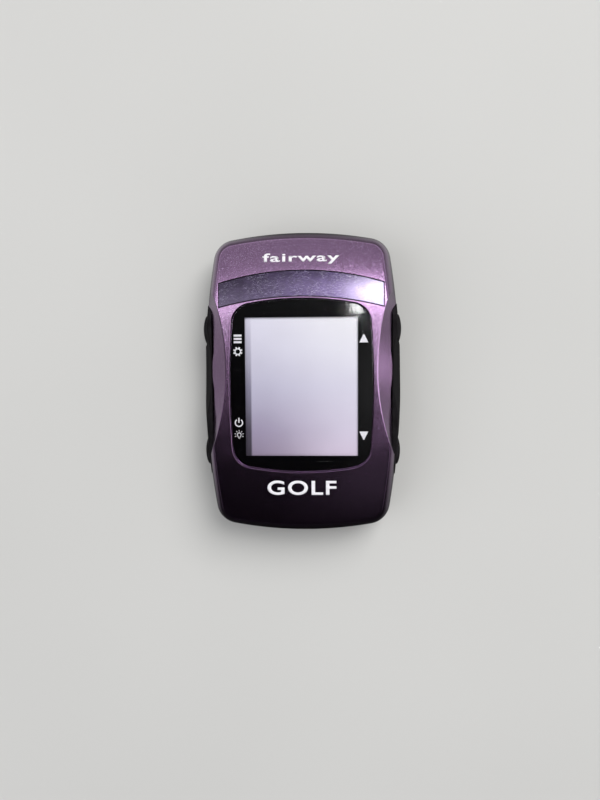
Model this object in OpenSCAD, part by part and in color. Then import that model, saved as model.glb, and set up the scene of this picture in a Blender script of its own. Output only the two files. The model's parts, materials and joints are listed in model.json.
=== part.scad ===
// Pocket golf GPS rangefinder: two-piece case, screen stack, four side buttons,
// circuit board, satellite antenna, battery and a hinged port cover.
// Frame: +Z out of the screen, +Y towards the top end, +X to the right,
// origin at the centre of the flat back face. Millimetres.

/* [Case] */
// Overall width at mid length
case_w = 59.6; // [58.6:0.1:60.6]
// Overall length, end to end
case_l = 91; // [90:0.5:92]
// Overall thickness at the middle of the front face
case_t = 19.5; // [19.3:0.1:20.5]
// Plan radius of the long sides
side_r = 240; // [200:5:300]
// Plan radius of the two ends
end_r = 117; // [100:1:140]
// Plan radius of the corners
corner_r = 7; // [6.6:0.1:7.6]
// Height of the parting line above the back face
part_z = 9.6; // [9.6:0.05:9.7]
// Crown of the front face across the width
crown = 0.55; // [0.3:0.05:0.7]
// Drop of the front face at each end
end_drop = 3.0; // [2:0.1:3.4]
// Width of the rounded front edge
edge_a = 3.5; // [3.2:0.1:4.2]
// Width of the rounded back edge
back_a = 4.6; // [4:0.1:5]

/* [Grip scoops] */
// Plan radius of the edge where each scoop starts
scoop_r = 69; // [66:0.5:72]
// Distance of that edge from the centre line
scoop_x = 22.3; // [22.2:0.1:23]
// Height of the scoop centre along the length
scoop_y = 4.7; // [3.5:0.1:5.5]
// Sideways run of the scoop face for each millimetre of depth, at its middle
scoop_k = 1.05; // [1:0.01:1.1]
// How quickly the scoop face steepens towards its two ends
scoop_t = 0.00143; // [0.001:0.00001:0.0018]

/* [Screen] */
// Half width of the lens
lens_hw = 21.2; // [20.8:0.1:21.4]
// Half length of the lens
lens_hl = 25.58; // [25:0.1:25.7]
// Lens thickness
lens_t = 1.4; // [1:0.1:1.4]
// Height of the lens's outer face
lens_top = 18.9; // [18.8:0.05:19]
// Width of the clear window
win_w = 33.4; // [32:0.1:34]
// Length of the clear window
win_l = 41.1; // [40:0.1:42]

/* [Buttons] */
// Length of a button cap
cap_l = 9.2; // [7:0.1:9.6]
// Height of a button cap
cap_h = 4.4; // [3.6:0.1:4.6]
// How far out a cap's crown stands from the centre line
cap_x = 30; // [29.9:0.05:30.3]
// Position of the upper pair along the length
upper_y = 16.3; // [14:0.1:17]
// Position of the lower pair along the length
lower_y = -20.4; // [-21:0.1:-18]
// Travel of a button
travel = 0.35; // [0.2:0.05:0.4]

/* [Port and battery] */
// Battery width
batt_w = 34; // [30:0.5:36]
// Battery length
batt_l = 50; // [44:0.5:51]
// Battery thickness
batt_t = 5; // [4:0.1:5.2]
// Thread core radius of the clip socket
clip_r = 1.65; // [1.25:0.05:1.8]

/* [Hidden] */
$fn = 48;
e = 0.01;

hw = case_w / 2;
hl = case_l / 2;
front_n = 1.7;
back_n = 2.8;

// stack heights, back to front
floor_t = 1.6;
batt_z = 2.0;
board_z = part_z - 1.0;
board_t = 1.0;
glass_z = 14.0;
glass_top = 15.5;
plate_z = 17.0;
roof_z = 16.0;
lens_bot = lens_top - lens_t;
mask_z = lens_bot - 0.1;
ledge_z = mask_z - 0.2;
win_y = -0.95;
lens_y = -0.62;

// inner cavity, a plain rounded rectangle
cav_w = 49.2;
cav_l = 83.6;
cav_r = 4.6;

// fasteners
sx = 20;
sy = 37;
bx = 22;
by = 29.5;

// buttons
btn_z = 11.3;
rail_z = 10.8;
rail_r = 4.3;
rail_y0 = -28;
rail_y1 = 24;
rail_in = 27.0;
pocket_x = 26.1;
wall_x = cav_w / 2;
cap_xs = [cap_x - 0.05, cap_x - 0.25];

// port cover
pc_x = -8.2;
pc_y = -44.15;
pc_z0 = 4.8;
pc_z1 = 9.2;
port_z = board_z - 1.25;

// clip socket
clip_y = 31;

// ---------- plan outline: a barrel with arc sides, arc ends, round corners ----------
// centre of the corner circle, tangent to the side circle and the end circle
function corner_c(W, L, Rs, Re, rc) =
  let (a = [W - Rs, 0], b = [0, L - Re], ra = Rs - rc, rb = Re - rc,
       d = norm(b - a), u = (b - a) / d,
       m = (ra * ra - rb * rb + d * d) / (2 * d),
       h = sqrt(max(0, ra * ra - m * m)),
       p = a + m * u)
  [p[0] - h * u[1], p[1] + h * u[0]];

// first-quadrant points from the +X side to the +Y end, moved in by off
function quad(W, L, Rs, Re, rc, off, ns, nc) =
  let (c = corner_c(W, L, Rs, Re, rc),
       al = atan2(c[1], c[0] - (W - Rs)), be = atan2(c[0], c[1] - (L - Re)))
  concat(
    [for (i = [0 : ns - 1]) let (a = al * i / ns) [W - Rs + (Rs - off) * cos(a), (Rs - off) * sin(a)]],
    [for (i = [0 : nc - 1]) let (a = al + (90 - be - al) * i / nc) [c[0] + (rc - off) * cos(a), c[1] + (rc - off) * sin(a)]],
    [for (i = [0 : ns]) let (a = be * (1 - i / ns)) [(Re - off) * sin(a), L - Re + (Re - off) * cos(a)]]);

function barrel(W, L, Rs, Re, rc, off = 0, ns = 5, nc = 8) =
  let (q = quad(W, L, Rs, Re, rc, off, ns, nc), n = len(q) - 1)
  concat([for (i = [0 : n - 1]) q[i]],
         [for (i = [n : -1 : 1]) [-q[i][0], q[i][1]]],
         [for (i = [0 : n - 1]) [-q[i][0], -q[i][1]]],
         [for (i = [n : -1 : 1]) [q[i][0], -q[i][1]]]);

function case_ring(off) = barrel(hw, hl, side_r, end_r, corner_r, off);
function lens_pts(off) = [for (p = barrel(lens_hw, lens_hl, 240, 86, 6, off, 6, 8)) p + [0, lens_y]];

// ---------- crowned case halves ----------
function face_z(x, y) = case_t - crown * pow(x / 27, 2) - end_drop * pow(max(0, abs(y) - 18) / 27.5, 2);

function front_rings(off, dz, z0) =
  let (m = 8, base = [for (p = case_ring(off)) [p[0], p[1], z0]],
       side = [for (k = [0 : m]) let (u = 90 * k / m, o = off + edge_a * (1 - pow(cos(u), 2 / front_n)), h = pow(sin(u), 2 / front_n))
               [for (p = case_ring(o)) [p[0], p[1], part_z + (face_z(p[0], p[1]) - dz - part_z) * h]]],
       rim = case_ring(off + edge_a),
       cap = [for (s = [0.8, 0.55, 0.28]) [for (p = rim) [p[0] * s, p[1] * s, face_z(p[0] * s, p[1] * s) - dz]]])
  z0 < part_z - e ? concat([base], side, cap) : concat(side, cap);

function back_rings(off, dz, z1) =
  let (m = 8, base = [for (p = case_ring(off)) [p[0], p[1], z1]],
       side = [for (k = [0 : m]) let (u = 90 * k / m, o = off + back_a * (1 - pow(cos(u), 2 / back_n)), h = pow(sin(u), 2 / back_n))
               [for (p = case_ring(o)) [p[0], p[1], part_z - (part_z - dz) * h]]])
  z1 > part_z + e ? concat([base], side) : side;

// closed skin through a list of rings, each anticlockwise; up is 1 when later rings lie higher
module skin(rings, up, tip) {
  n = len(rings[0]);
  m = len(rings);
  pts = concat([for (r = rings) each r], tip == undef ? [] : [tip]);
  walls = [for (k = [0 : m - 2]) for (i = [0 : n - 1]) let (j = (i + 1) % n, a = k * n, b = (k + 1) * n)
    each (up ? [[a + i, b + i, b + j], [a + i, b + j, a + j]] : [[a + i, b + j, b + i], [a + i, a + j, b + j]])];
  first = [up ? [for (i = [0 : n - 1]) i] : [for (i = [n - 1 : -1 : 0]) i]];
  last = tip == undef ? [up ? [for (i = [n - 1 : -1 : 0]) (m - 1) * n + i] : [for (i = [0 : n - 1]) (m - 1) * n + i]]
    : [for (i = [0 : n - 1]) [m * n, (m - 1) * n + (i + 1) % n, (m - 1) * n + i]];
  polyhedron(points = pts, faces = concat(walls, first, last), convexity = 6);
}

module front_body(off = 0, dz = 0, z0 = part_z) skin(front_rings(off, dz, z0), true, [0, 0, face_z(0, 0) - dz]);
module back_body(off = 0, dz = 0, z1 = part_z) skin(back_rings(off, dz, z1), false, undef);

// ---------- small shapes ----------
module rrect(w, l, r) {
  square([w - 2 * r, l], center = true);
  square([w, l - 2 * r], center = true);
  for (i = [-1, 1], j = [-1, 1]) translate([i * (w / 2 - r), j * (l / 2 - r)]) circle(r = r);
}
module slab(w, l, r, z0, z1) translate([0, 0, z0]) linear_extrude(z1 - z0) rrect(w, l, r);
module ring_slab(w, l, r, t, z0, z1) translate([0, 0, z0]) linear_extrude(z1 - z0) difference() {
  rrect(w, l, r);
  rrect(w - 2 * t, l - 2 * t, max(0.1, r - t));
}
module block(x0, x1, y0, y1, z0, z1) translate([x0, y0, z0]) cube([x1 - x0, y1 - y0, z1 - z0]);
module rod(a, b, r) {
  v = b - a;
  translate(a) rotate([0, acos(v[2] / norm(v)), atan2(v[1], v[0])]) cylinder(r = r, h = norm(v));
}
// stadium in the YZ plane, extruded along +X
module pill(x0, x1, y0, y1, zc, r) {
  translate([x0, y0 + r, zc - r]) cube([x1 - x0, y1 - y0 - 2 * r, 2 * r]);
  for (y = [y0 + r, y1 - r]) translate([x0, y, zc]) rotate([0, 90, 0]) cylinder(r = r, h = x1 - x0);
}
module both_sides() { children(); mirror([1, 0, 0]) children(); }
module four(x, y) { for (i = [-1, 1], j = [-1, 1]) translate([i * x, j * y, 0]) children(); }

// the sloping scoop face on the +X side, as the ruled body that removes it
function scoop_at(v, z) = scoop_x + v * v / (2 * scoop_r) + (19.1 - z) * max(0.15, scoop_k - scoop_t * v * v);
module scoop_cut() {
  zs = [9.5, 13, 16.5, 20, 24];
  vs = [for (i = [-20 : 20]) 1.6 * i];
  m = len(zs) + 2;
  n = len(vs);
  pts = [for (v = vs) each concat([for (z = zs) [scoop_at(v, z), scoop_y + v, z]], [[40, scoop_y + v, zs[4]], [40, scoop_y + v, zs[0]]])];
  walls = [for (i = [0 : n - 2]) for (j = [0 : m - 1]) let (a = i * m + j, b = i * m + (j + 1) % m) each [[a, b + m, b], [a, a + m, b + m]]];
  near_end = concat([for (j = [0 : m - 4]) [m - 2, j, j + 1]], [[m - 2, m - 1, 0]]);
  far_end = [for (f = near_end) [f[2] + (n - 1) * m, f[1] + (n - 1) * m, f[0] + (n - 1) * m]];
  polyhedron(points = pts, faces = concat(walls, near_end, far_end), convexity = 4);
}
// the steeper cone that hollows the rail under it
module rail_cone() translate([84.6, 4, 8])
  cylinder(r1 = 53.6, r2 = 57.7, h = 7.6, $fn = 128);

module brow_2d(grow) intersection() {
  difference() {
    translate([0, 33.1 - 83]) circle(r = 83 + grow, $fn = 128);
    translate([0, 25.55 - 96]) circle(r = 96 - grow, $fn = 128);
  }
  translate([0, 30]) square([48.4 + 2 * grow, 30], center = true);
}

// what both covers give up on the +X side for the rail, the caps and their stems
module rail_space() pill(rail_in, hw + 2, rail_y0 - 0.12, rail_y1 + 0.12, rail_z, rail_r + 0.12);
module button_space(y) {
  pill(pocket_x, rail_in + e, y - cap_l / 2 - 1, y + cap_l / 2 + 1, btn_z, cap_h / 2 + 1);
  translate([wall_x - 0.5, y, btn_z]) rotate([0, 90, 0]) cylinder(r = 1.1, h = pocket_x - wall_x + 1);
  translate([pocket_x - 0.66, y, btn_z]) rotate([0, 90, 0]) cylinder(r = 1.65, h = 0.67);
}
module side_space() both_sides() {
  rail_space();
  for (y = [upper_y, lower_y]) button_space(y);
}

// ---------- case ----------
module front_cover() color([0.30, 0.24, 0.32]) {
  difference() {
    front_body();
    // cavity
    intersection() {
      slab(cav_w, cav_l, cav_r, part_z - 1, roof_z);
      front_body(1.8, 1.8, part_z - 1);
    }
    // lens seat and the opening behind it
    translate([0, 0, ledge_z]) linear_extrude(5) polygon(lens_pts(-0.08));
    translate([0, win_y, 0]) slab(37.4, 45.2, 3, roof_z - 1, ledge_z + 1);
    // brow recess
    difference() {
      translate([0, 0, 14]) linear_extrude(8) brow_2d(0.06);
      front_body(0.9, 0.9, 9);
    }
    // scoops
    both_sides() scoop_cut();
    side_space();
  }
  // bosses for the case screws and posts for the board screws
  difference() {
    intersection() {
      union() {
        four(sx, sy) translate([0, 0, part_z + 0.1]) cylinder(r = 2.9, h = 8);
        four(bx, by) translate([0, 0, part_z + 0.05]) cylinder(r = 1.7, h = 8);
      }
      front_body(1.2, 1.2);
    }
    four(sx, sy) {
      translate([0, 0, part_z]) cylinder(r = 1.7, h = 4.1);
      translate([0, 0, part_z]) cylinder(r = 1.0, h = 5.4);
    }
    four(bx, by) translate([0, 0, part_z]) cylinder(r = 0.65, h = 4.4);
  }
}

module brow_inlay() color([0.20, 0.16, 0.24]) difference() {
  intersection() {
    translate([0, 0, 14]) linear_extrude(8) brow_2d(-0.04);
    front_body(0.12, 0.12);
  }
  front_body(0.86, 0.86, 9);
}

module rear_cover() color([0.07, 0.07, 0.075]) difference() {
  union() {
    difference() {
      back_body();
      intersection() {
        slab(cav_w, cav_l, cav_r, floor_t, part_z + 1);
        back_body(1.6, floor_t, part_z + 1);
      }
    }
    intersection() {
      union() {
        four(sx, sy) translate([0, 0, 0.5]) cylinder(r = 3.1, h = part_z - 0.5);
        translate([0, clip_y, 0.5]) cylinder(r = 4.2, h = 5.7);
        // ribs that locate the battery
        for (i = [-1, 1]) block(i * (batt_w / 2 + 0.9) - 0.5, i * (batt_w / 2 + 0.9) + 0.5, -22, 16, 1, 5.5);
        for (i = [-1, 1]) block(i * 9 - 4, i * 9 + 4, -30, -29, 1, 5.5);
      }
      back_body(0.8, 0.8);
    }
  }
  // seal groove
  ring_slab(50.9, 85.3, 5.45, 0.6, part_z - 0.8, part_z + 1);
  side_space();
  // case screw holes, counterbored from the back
  four(sx, sy) {
    translate([0, 0, -1]) cylinder(r = 1.1, h = 12);
    translate([0, 0, -1]) cylinder(r = 2.15, h = 3.6);
  }
  // clip socket
  translate([0, clip_y, -1]) cylinder(r = 2.6, h = 5.7);
  translate([0, clip_y, -1]) cylinder(r = 1.7, h = 6.4);
  // label recess
  translate([0, -8, 0]) slab(30.3, 18.3, 2.15, -1, 0.15);
  // port cover recess, hinge relief, pin hole and port opening
  block(pc_x - 1.4, 6.8, -50, -43.3, pc_z0, pc_z1);
  translate([pc_x, pc_y, pc_z0]) cylinder(r = 1.2, h = pc_z1 - pc_z0);
  translate([pc_x, pc_y, pc_z0 - 0.9]) cylinder(r = 0.52, h = 8);
  translate([0, 0, port_z]) block(-4.2, 4.2, -43.4, -41.5, -1.55, 1.55);
  // thumbnail notch beside the cover
  translate([8.0, -47.2, 7]) cylinder(r = 2.6, h = 4.4, center = true);
}

module rear_label() color([0.16, 0.16, 0.17]) translate([0, -8, 0]) slab(30, 18, 2, 0.05, 0.15);

module perimeter_seal() color([0.1, 0.1, 0.1]) ring_slab(50.8, 85.2, 5.4, 0.5, part_z - 0.8, part_z);

module rail() difference() {
  intersection() {
    union() { front_body(-0.2, 0); back_body(-0.2, 0); }
    pill(rail_in + 0.1, hw + 2, rail_y0, rail_y1, rail_z, rail_r);
  }
  rail_cone();
  for (y = [upper_y, lower_y]) pill(rail_in, hw + 2, y - cap_l / 2 - 0.12, y + cap_l / 2 + 0.12, btn_z, cap_h / 2 + 0.12);
}
module right_rail() color([0.06, 0.06, 0.065]) rail();
module left_rail() color([0.06, 0.06, 0.065]) mirror([1, 0, 0]) rail();

// ---------- buttons, on the +X side ----------
module button(y, xc) {
  intersection() {
    pill(rail_in, cap_x + 1, y - cap_l / 2, y + cap_l / 2, btn_z, cap_h / 2);
    translate([xc - 12, y, btn_z]) sphere(r = 12, $fn = 96);
  }
  pill(rail_in - 0.45, rail_in + 0.05, y - cap_l / 2 - 0.8, y + cap_l / 2 + 0.8, btn_z, cap_h / 2 + 0.8);
  translate([wall_x + 0.12, y, btn_z]) rotate([0, 90, 0]) cylinder(r = 1.0, h = rail_in - 0.4 - wall_x - 0.12);
}
module up_button() color([0.05, 0.05, 0.055]) button(upper_y, cap_xs[0]);
module down_button() color([0.05, 0.05, 0.055]) button(lower_y, cap_xs[1]);
module menu_button() color([0.05, 0.05, 0.055]) mirror([1, 0, 0]) button(upper_y, cap_xs[0]);
module power_button() color([0.05, 0.05, 0.055]) mirror([1, 0, 0]) button(lower_y, cap_xs[1]);

module button_seals() color([0.12, 0.12, 0.12]) both_sides() for (y = [upper_y, lower_y])
  translate([pocket_x - 0.33, y, btn_z]) rotate([0, 90, 0]) rotate_extrude() translate([1.325, 0]) circle(r = 0.3);

module switch_body(y) difference() {
  block(20.6, 24.0, y - 2.4, y + 2.4, part_z, 12.6);
  translate([22.9, y, btn_z]) rotate([0, 90, 0]) cylinder(r = 0.75, h = 2);
}
module side_switches() color([0.75, 0.75, 0.76]) both_sides() for (y = [upper_y, lower_y]) switch_body(y);
module plunger(y) translate([23.3, y, btn_z]) rotate([0, 90, 0]) cylinder(r = 0.7, h = 1.4);
module up_plunger() color([0.1, 0.1, 0.1]) plunger(upper_y);
module down_plunger() color([0.1, 0.1, 0.1]) plunger(lower_y);
module menu_plunger() color([0.1, 0.1, 0.1]) mirror([1, 0, 0]) plunger(upper_y);
module power_plunger() color([0.1, 0.1, 0.1]) mirror([1, 0, 0]) plunger(lower_y);

// ---------- screen stack ----------
module lens() color([0.85, 0.87, 0.9, 0.35]) translate([0, 0, lens_bot]) linear_extrude(lens_t) polygon(lens_pts(0));
module lens_mask() color([0.02, 0.02, 0.025]) translate([0, 0, mask_z]) linear_extrude(0.1) difference() {
  polygon(lens_pts(0.1));
  translate([0, win_y]) square([win_w, win_l], center = true);
}
module lens_tape() color([0.15, 0.15, 0.15]) translate([0, 0, ledge_z]) linear_extrude(0.2) difference() {
  polygon(lens_pts(0.2));
  translate([0, win_y]) rrect(37.8, 45.6, 3.2);
}
module lcd_gasket() color([0.1, 0.1, 0.1]) translate([0, win_y, 0]) ring_slab(39, 48.6, 1, 1.3, glass_top, roof_z);
module lcd_panel() color([0.78, 0.77, 0.84]) translate([0, win_y, 0]) {
  block(-18.5, 18.5, -23.2, 23.2, glass_z, glass_top - 0.75);
  block(-18.5, 18.5, -20.9, 23.2, glass_top - 0.75, glass_top);
  // bonded front plate, standing in the opening behind the lens
  block(-17.7, 17.7, -20.9, 21.4, glass_top - e, plate_z);
}
module lcd_backlight() color([0.93, 0.93, 0.9]) translate([0, win_y, 0]) slab(36.6, 45, 0.6, 12.5, glass_z);
module lcd_frame() color([0.8, 0.8, 0.82]) translate([0, win_y, 0]) difference() {
  slab(39.4, 49.4, 0.8, 12.2, glass_top);
  block(-18.55, 18.55, -23.25, 23.25, glass_z, 20);
  slab(36.8, 45.2, 0.6, 12.5, 20);
  // way out for the flex
  block(-8.4, 8.4, -30, -23, 13.6, 20);
}
module lcd_flex() color([0.75, 0.5, 0.15]) {
  difference() {
    translate([-8, -27.5, 11.94]) rotate([0, 90, 0]) cylinder(r = 2.0, h = 16);
    translate([-9, -27.5, 11.94]) rotate([0, 90, 0]) cylinder(r = 1.85, h = 18);
    block(-9, 9, -27.5, -20, 9, 16);
  }
  block(-8, 8, -27.52, -24.2, 13.79, 13.94);
  block(-8, 8, -27.52, -25.1, 9.94, 10.09);
}
module lcd_connector() color([0.85, 0.83, 0.76]) difference() {
  block(-9.4, 9.4, -26.6, -22.6, part_z, 10.6);
  block(-8.1, 8.1, -27, -25.0, 9.9, 10.13);
}
module lcd_support_pads() color([0.12, 0.12, 0.12]) for (i = [-1, 1], j = [-18, 18])
  translate([i * 15.5, win_y + j, 0]) slab(5, 6, 0.6, part_z, 12.2);

// ---------- board ----------
module main_board() color([0.05, 0.28, 0.16]) difference() {
  translate([0, 0, board_z]) linear_extrude(board_t) union() {
    rrect(48, 65, 1);
    rrect(32.6, 83, 1);
  }
  four(bx, by) translate([0, 0, board_z - 1]) cylinder(r = 0.9, h = 3);
  translate([0, 32.6, board_z - 1]) cylinder(r = 0.55, h = 3);
}
module processor() color([0.08, 0.08, 0.09]) translate([-6, -6, 0]) slab(11, 11, 0.2, part_z, part_z + 1.1);
module memory_chip() color([0.08, 0.08, 0.09]) translate([8, -8, 0]) slab(9, 11, 0.2, part_z, part_z + 0.9);
module gps_shield() color([0.72, 0.73, 0.74]) translate([-9.5, 31, 0]) slab(12.6, 12.6, 0.5, board_z - 1.8, board_z);
module clock_crystal() color([0.7, 0.7, 0.7]) translate([0, 6, 0]) slab(5, 3.2, 0.6, part_z, part_z + 0.8);
module board_components() color([0.55, 0.45, 0.35]) {
  for (i = [0 : 5]) translate([-14 + i * 2.2, 3, part_z]) cube([1.0, 0.6, 0.5]);
  for (i = [0 : 4]) translate([-14 + i * 2.2, 9.5, part_z]) cube([1.6, 0.9, 0.8]);
  for (i = [0 : 3]) translate([4 + i * 2.6, 1, part_z]) cube([0.6, 1.0, 0.5]);
  for (i = [0 : 4]) translate([5 + i * 2.4, 11, part_z]) cube([1.0, 0.6, 0.5]);
  for (i = [0 : 1]) translate([4.6 + i * 4, 15, part_z]) cube([3, 3, 1.2]);
  for (i = [0 : 4]) translate([-10 + i * 3, -34, part_z]) cube([1.6, 0.9, 0.8]);
  for (i = [0 : 3]) translate([7 + i * 2, -33.6, board_z - 0.6]) cube([1.0, 0.6, 0.6]);
}
module antenna_tape() color([0.9, 0.9, 0.88]) difference() {
  translate([0, 32.6, 0]) slab(15.4, 15.4, 0.5, part_z, part_z + 0.2);
  translate([0, 32.6, part_z - 1]) cylinder(r = 0.55, h = 3);
}
module gps_antenna() color([0.82, 0.74, 0.58]) difference() {
  translate([0, 32.6, 0]) slab(16, 16, 0.6, part_z + 0.2, part_z + 4.2);
  translate([0, 32.6, part_z - 1]) cylinder(r = 0.5, h = 8);
}
module antenna_patch() color([0.85, 0.85, 0.86]) difference() {
  translate([0, 32.6, 0]) slab(12.6, 12.6, 0.4, part_z + 4.2, part_z + 4.26);
  translate([0, 32.6, part_z]) cylinder(r = 0.5, h = 8);
}
module antenna_pin() color([0.85, 0.8, 0.6]) translate([0, 32.6, 0]) {
  translate([0, 0, board_z - 0.4]) cylinder(r = 0.45, h = 5.7);
  translate([0, 0, part_z + 4.27]) cylinder(r = 0.8, h = 0.35);
}

// ---------- port ----------
module usb_connector() color([0.8, 0.8, 0.8]) translate([0, 0, port_z]) difference() {
  block(-3.75, 3.75, -41.7, -36.7, -1.25, 1.25);
  block(-3.45, 3.45, -42, -37.0, -0.95, 0.95);
}
module usb_tongue() color([0.1, 0.1, 0.1]) translate([0, 0, port_z]) block(-1.9, 1.9, -41.3, -37.0, -0.2, 0.45);
module usb_cover() color([0.09, 0.09, 0.095]) difference() {
  union() {
    intersection() {
      block(pc_x, 6.65, -50, -43.5, pc_z0 + 0.1, pc_z1 - 0.1);
      back_body(0.03, 0);
    }
    translate([pc_x, pc_y, pc_z0 + 0.1]) cylinder(r = 1.03, h = pc_z1 - pc_z0 - 0.2);
    translate([0, 0, port_z]) block(-3.5, 3.5, -43.55, -42.2, -0.95, 0.95);
  }
  translate([pc_x, pc_y, 0]) cylinder(r = 0.56, h = 20);
}
module usb_cover_pin() color([0.75, 0.75, 0.77]) translate([pc_x, pc_y, pc_z0 - 0.9]) cylinder(r = 0.5, h = part_z - pc_z0 + 0.9);

// ---------- battery ----------
module battery_cell() color([0.72, 0.73, 0.76]) translate([0, -3, 0]) slab(batt_w, batt_l, 1.2, batt_z, batt_z + batt_t);
module battery_pad() color([0.2, 0.2, 0.2]) translate([0, -3, 0]) slab(batt_w - 4, batt_l - 6, 1, floor_t, batt_z);
module battery_board() color([0.85, 0.7, 0.2]) translate([3, batt_l / 2 - 3 + 1.7, 0]) slab(22, 3.2, 0.4, 3.2, 5.0);
module battery_leads() {
  for (i = [0, 1]) color(i == 0 ? [0.8, 0.05, 0.05] : [0.03, 0.03, 0.03])
  let (x = 8 + 2 * i, y0 = batt_l / 2 - 3 + 3.35) {
    rod([x, y0, 4.1], [x, 27.6, 4.1], 0.5);
    translate([x, 27.6, 4.1]) sphere(r = 0.57);
    rod([x, 27.6, 4.1], [x + 2.2, 28.4, 7.1], 0.5);
    translate([x + 2.2, 28.4, 7.1]) sphere(r = 0.57);
    rod([x + 2.2, 28.4, 7.1], [x + 2.2, 29.85, 7.1], 0.5);
  }
}
module battery_plug() color([0.92, 0.91, 0.86]) block(9.0, 13.4, 29.9, 33.2, 6.3, 7.9);
module battery_socket() color([0.9, 0.89, 0.83]) difference() {
  block(8.3, 14.1, 30.4, 34.4, 5.7, board_z);
  block(8.9, 13.5, 29, 33.3, 6.2, 8.0);
}

// ---------- fasteners ----------
module cross(r, d) for (a = [0, 90]) rotate([0, 0, a]) cube([2 * r, 0.45, 2 * d], center = true);
module case_screws() color([0.35, 0.35, 0.37]) four(sx, sy) difference() {
  union() {
    translate([0, 0, 1.2]) cylinder(r = 1.95, h = 1.4);
    translate([0, 0, 2.5]) cylinder(r = 0.78, h = 10);
  }
  translate([0, 0, 1.2]) cross(1.15, 0.8);
}
module case_inserts() color([0.8, 0.62, 0.25]) four(sx, sy) difference() {
  translate([0, 0, part_z + 0.1]) cylinder(r = 1.68, h = 3.98);
  translate([0, 0, part_z]) cylinder(r = 0.8, h = 5);
}
module board_screws() color([0.6, 0.6, 0.62]) four(bx, by) difference() {
  union() {
    translate([0, 0, board_z - 1.0]) cylinder(r = 1.4, h = 1.0);
    translate([0, 0, board_z - 0.1]) cylinder(r = 0.63, h = 4.4);
  }
  translate([0, 0, board_z - 1.0]) cross(0.9, 0.5);
}
module clip_insert() color([0.8, 0.62, 0.25]) translate([0, clip_y, 0.2]) difference() {
  cylinder(r = 2.58, h = 4.45);
  translate([0, 0, -1]) cylinder(r = clip_r, h = 7);
}

front_cover();
brow_inlay();
lens();
lens_mask();
lens_tape();
lcd_gasket();
lcd_panel();
lcd_backlight();
lcd_frame();
lcd_flex();
lcd_connector();
lcd_support_pads();
main_board();
processor();
memory_chip();
gps_shield();
clock_crystal();
board_components();
gps_antenna();
antenna_patch();
antenna_tape();
antenna_pin();
usb_connector();
usb_tongue();
usb_cover();
usb_cover_pin();
left_rail();
right_rail();
menu_button();
power_button();
up_button();
down_button();
button_seals();
side_switches();
menu_plunger();
power_plunger();
up_plunger();
down_plunger();
battery_cell();
battery_board();
battery_leads();
battery_plug();
battery_socket();
battery_pad();
perimeter_seal();
rear_cover();
rear_label();
case_screws();
case_inserts();
board_screws();
clip_insert();
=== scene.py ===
import json
import math
import random

import bpy
import numpy as np
from mathutils import Matrix, Vector
from mathutils.geometry import delaunay_2d_cdt

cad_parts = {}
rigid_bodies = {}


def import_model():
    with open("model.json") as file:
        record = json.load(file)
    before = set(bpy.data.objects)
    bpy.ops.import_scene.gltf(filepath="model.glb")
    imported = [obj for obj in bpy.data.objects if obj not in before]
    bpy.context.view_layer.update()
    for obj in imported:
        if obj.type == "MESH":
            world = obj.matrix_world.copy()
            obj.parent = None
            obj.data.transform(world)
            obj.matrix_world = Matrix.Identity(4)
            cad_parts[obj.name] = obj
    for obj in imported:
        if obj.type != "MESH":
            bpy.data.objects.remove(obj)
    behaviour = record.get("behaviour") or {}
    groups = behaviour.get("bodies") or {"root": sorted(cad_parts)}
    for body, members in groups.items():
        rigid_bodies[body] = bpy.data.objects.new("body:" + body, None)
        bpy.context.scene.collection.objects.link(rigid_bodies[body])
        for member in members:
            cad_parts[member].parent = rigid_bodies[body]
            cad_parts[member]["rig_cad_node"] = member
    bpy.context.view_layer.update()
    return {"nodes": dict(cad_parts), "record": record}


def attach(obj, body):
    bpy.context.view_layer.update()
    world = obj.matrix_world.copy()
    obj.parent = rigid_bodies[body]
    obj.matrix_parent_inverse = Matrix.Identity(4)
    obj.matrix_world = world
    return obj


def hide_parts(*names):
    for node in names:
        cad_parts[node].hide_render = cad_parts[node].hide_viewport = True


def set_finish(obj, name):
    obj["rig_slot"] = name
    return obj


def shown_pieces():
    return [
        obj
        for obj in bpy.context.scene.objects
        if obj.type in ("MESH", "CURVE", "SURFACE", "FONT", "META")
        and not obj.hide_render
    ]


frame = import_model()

MM = 0.001
scene = bpy.context.scene

# ------------------------------------------------------------------ dimensions, mm (same values as the CAD)
HW, HL, T = 29.8, 45.5, 19.5
SR, ER, CR = 240.0, 117.0, 7.0
PZ = 9.6
CROWN, DROP = 0.55, 3.0
EA, BA = 3.5, 4.6
FN, BN = 1.7, 2.8
SCR, SCX, SCY, SCK, SCT = 69.0, 22.3, 4.7, 1.05, 0.00143
LHW, LHL, LY = 21.2, 25.58, -0.62
LTOP, LBOT = 18.9, 17.5
WINW, WINL, WINY = 33.4, 41.1, -0.95
CAVW, CAVL, CAVR = 49.2, 83.6, 4.6
RZ, RR, RY0, RY1 = 10.8, 4.3, -28.0, 24.0
RIN = 27.0
BZ, CAPL, CAPH = 11.3, 9.2, 4.4
UY, LWY = 16.3, -20.4
CAPX = (29.95, 29.75)
PCX, PCY, PC0, PC1 = -8.2, -44.15, 4.8, 9.2
PORTZ = PZ - 1.0 - 1.25
SX, SY = 20.0, 37.0
CLIPY = 31.0


# ------------------------------------------------------------------ plane curves
def corner_c(W, L, Rs, Re, rc):
    a, b = np.array([W - Rs, 0.0]), np.array([0.0, L - Re])
    ra, rb = Rs - rc, Re - rc
    d = np.linalg.norm(b - a)
    u = (b - a) / d
    m = (ra * ra - rb * rb + d * d) / (2 * d)
    h = math.sqrt(max(0.0, ra * ra - m * m))
    p = a + m * u
    return np.array([p[0] - h * u[1], p[1] + h * u[0]])


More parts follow.
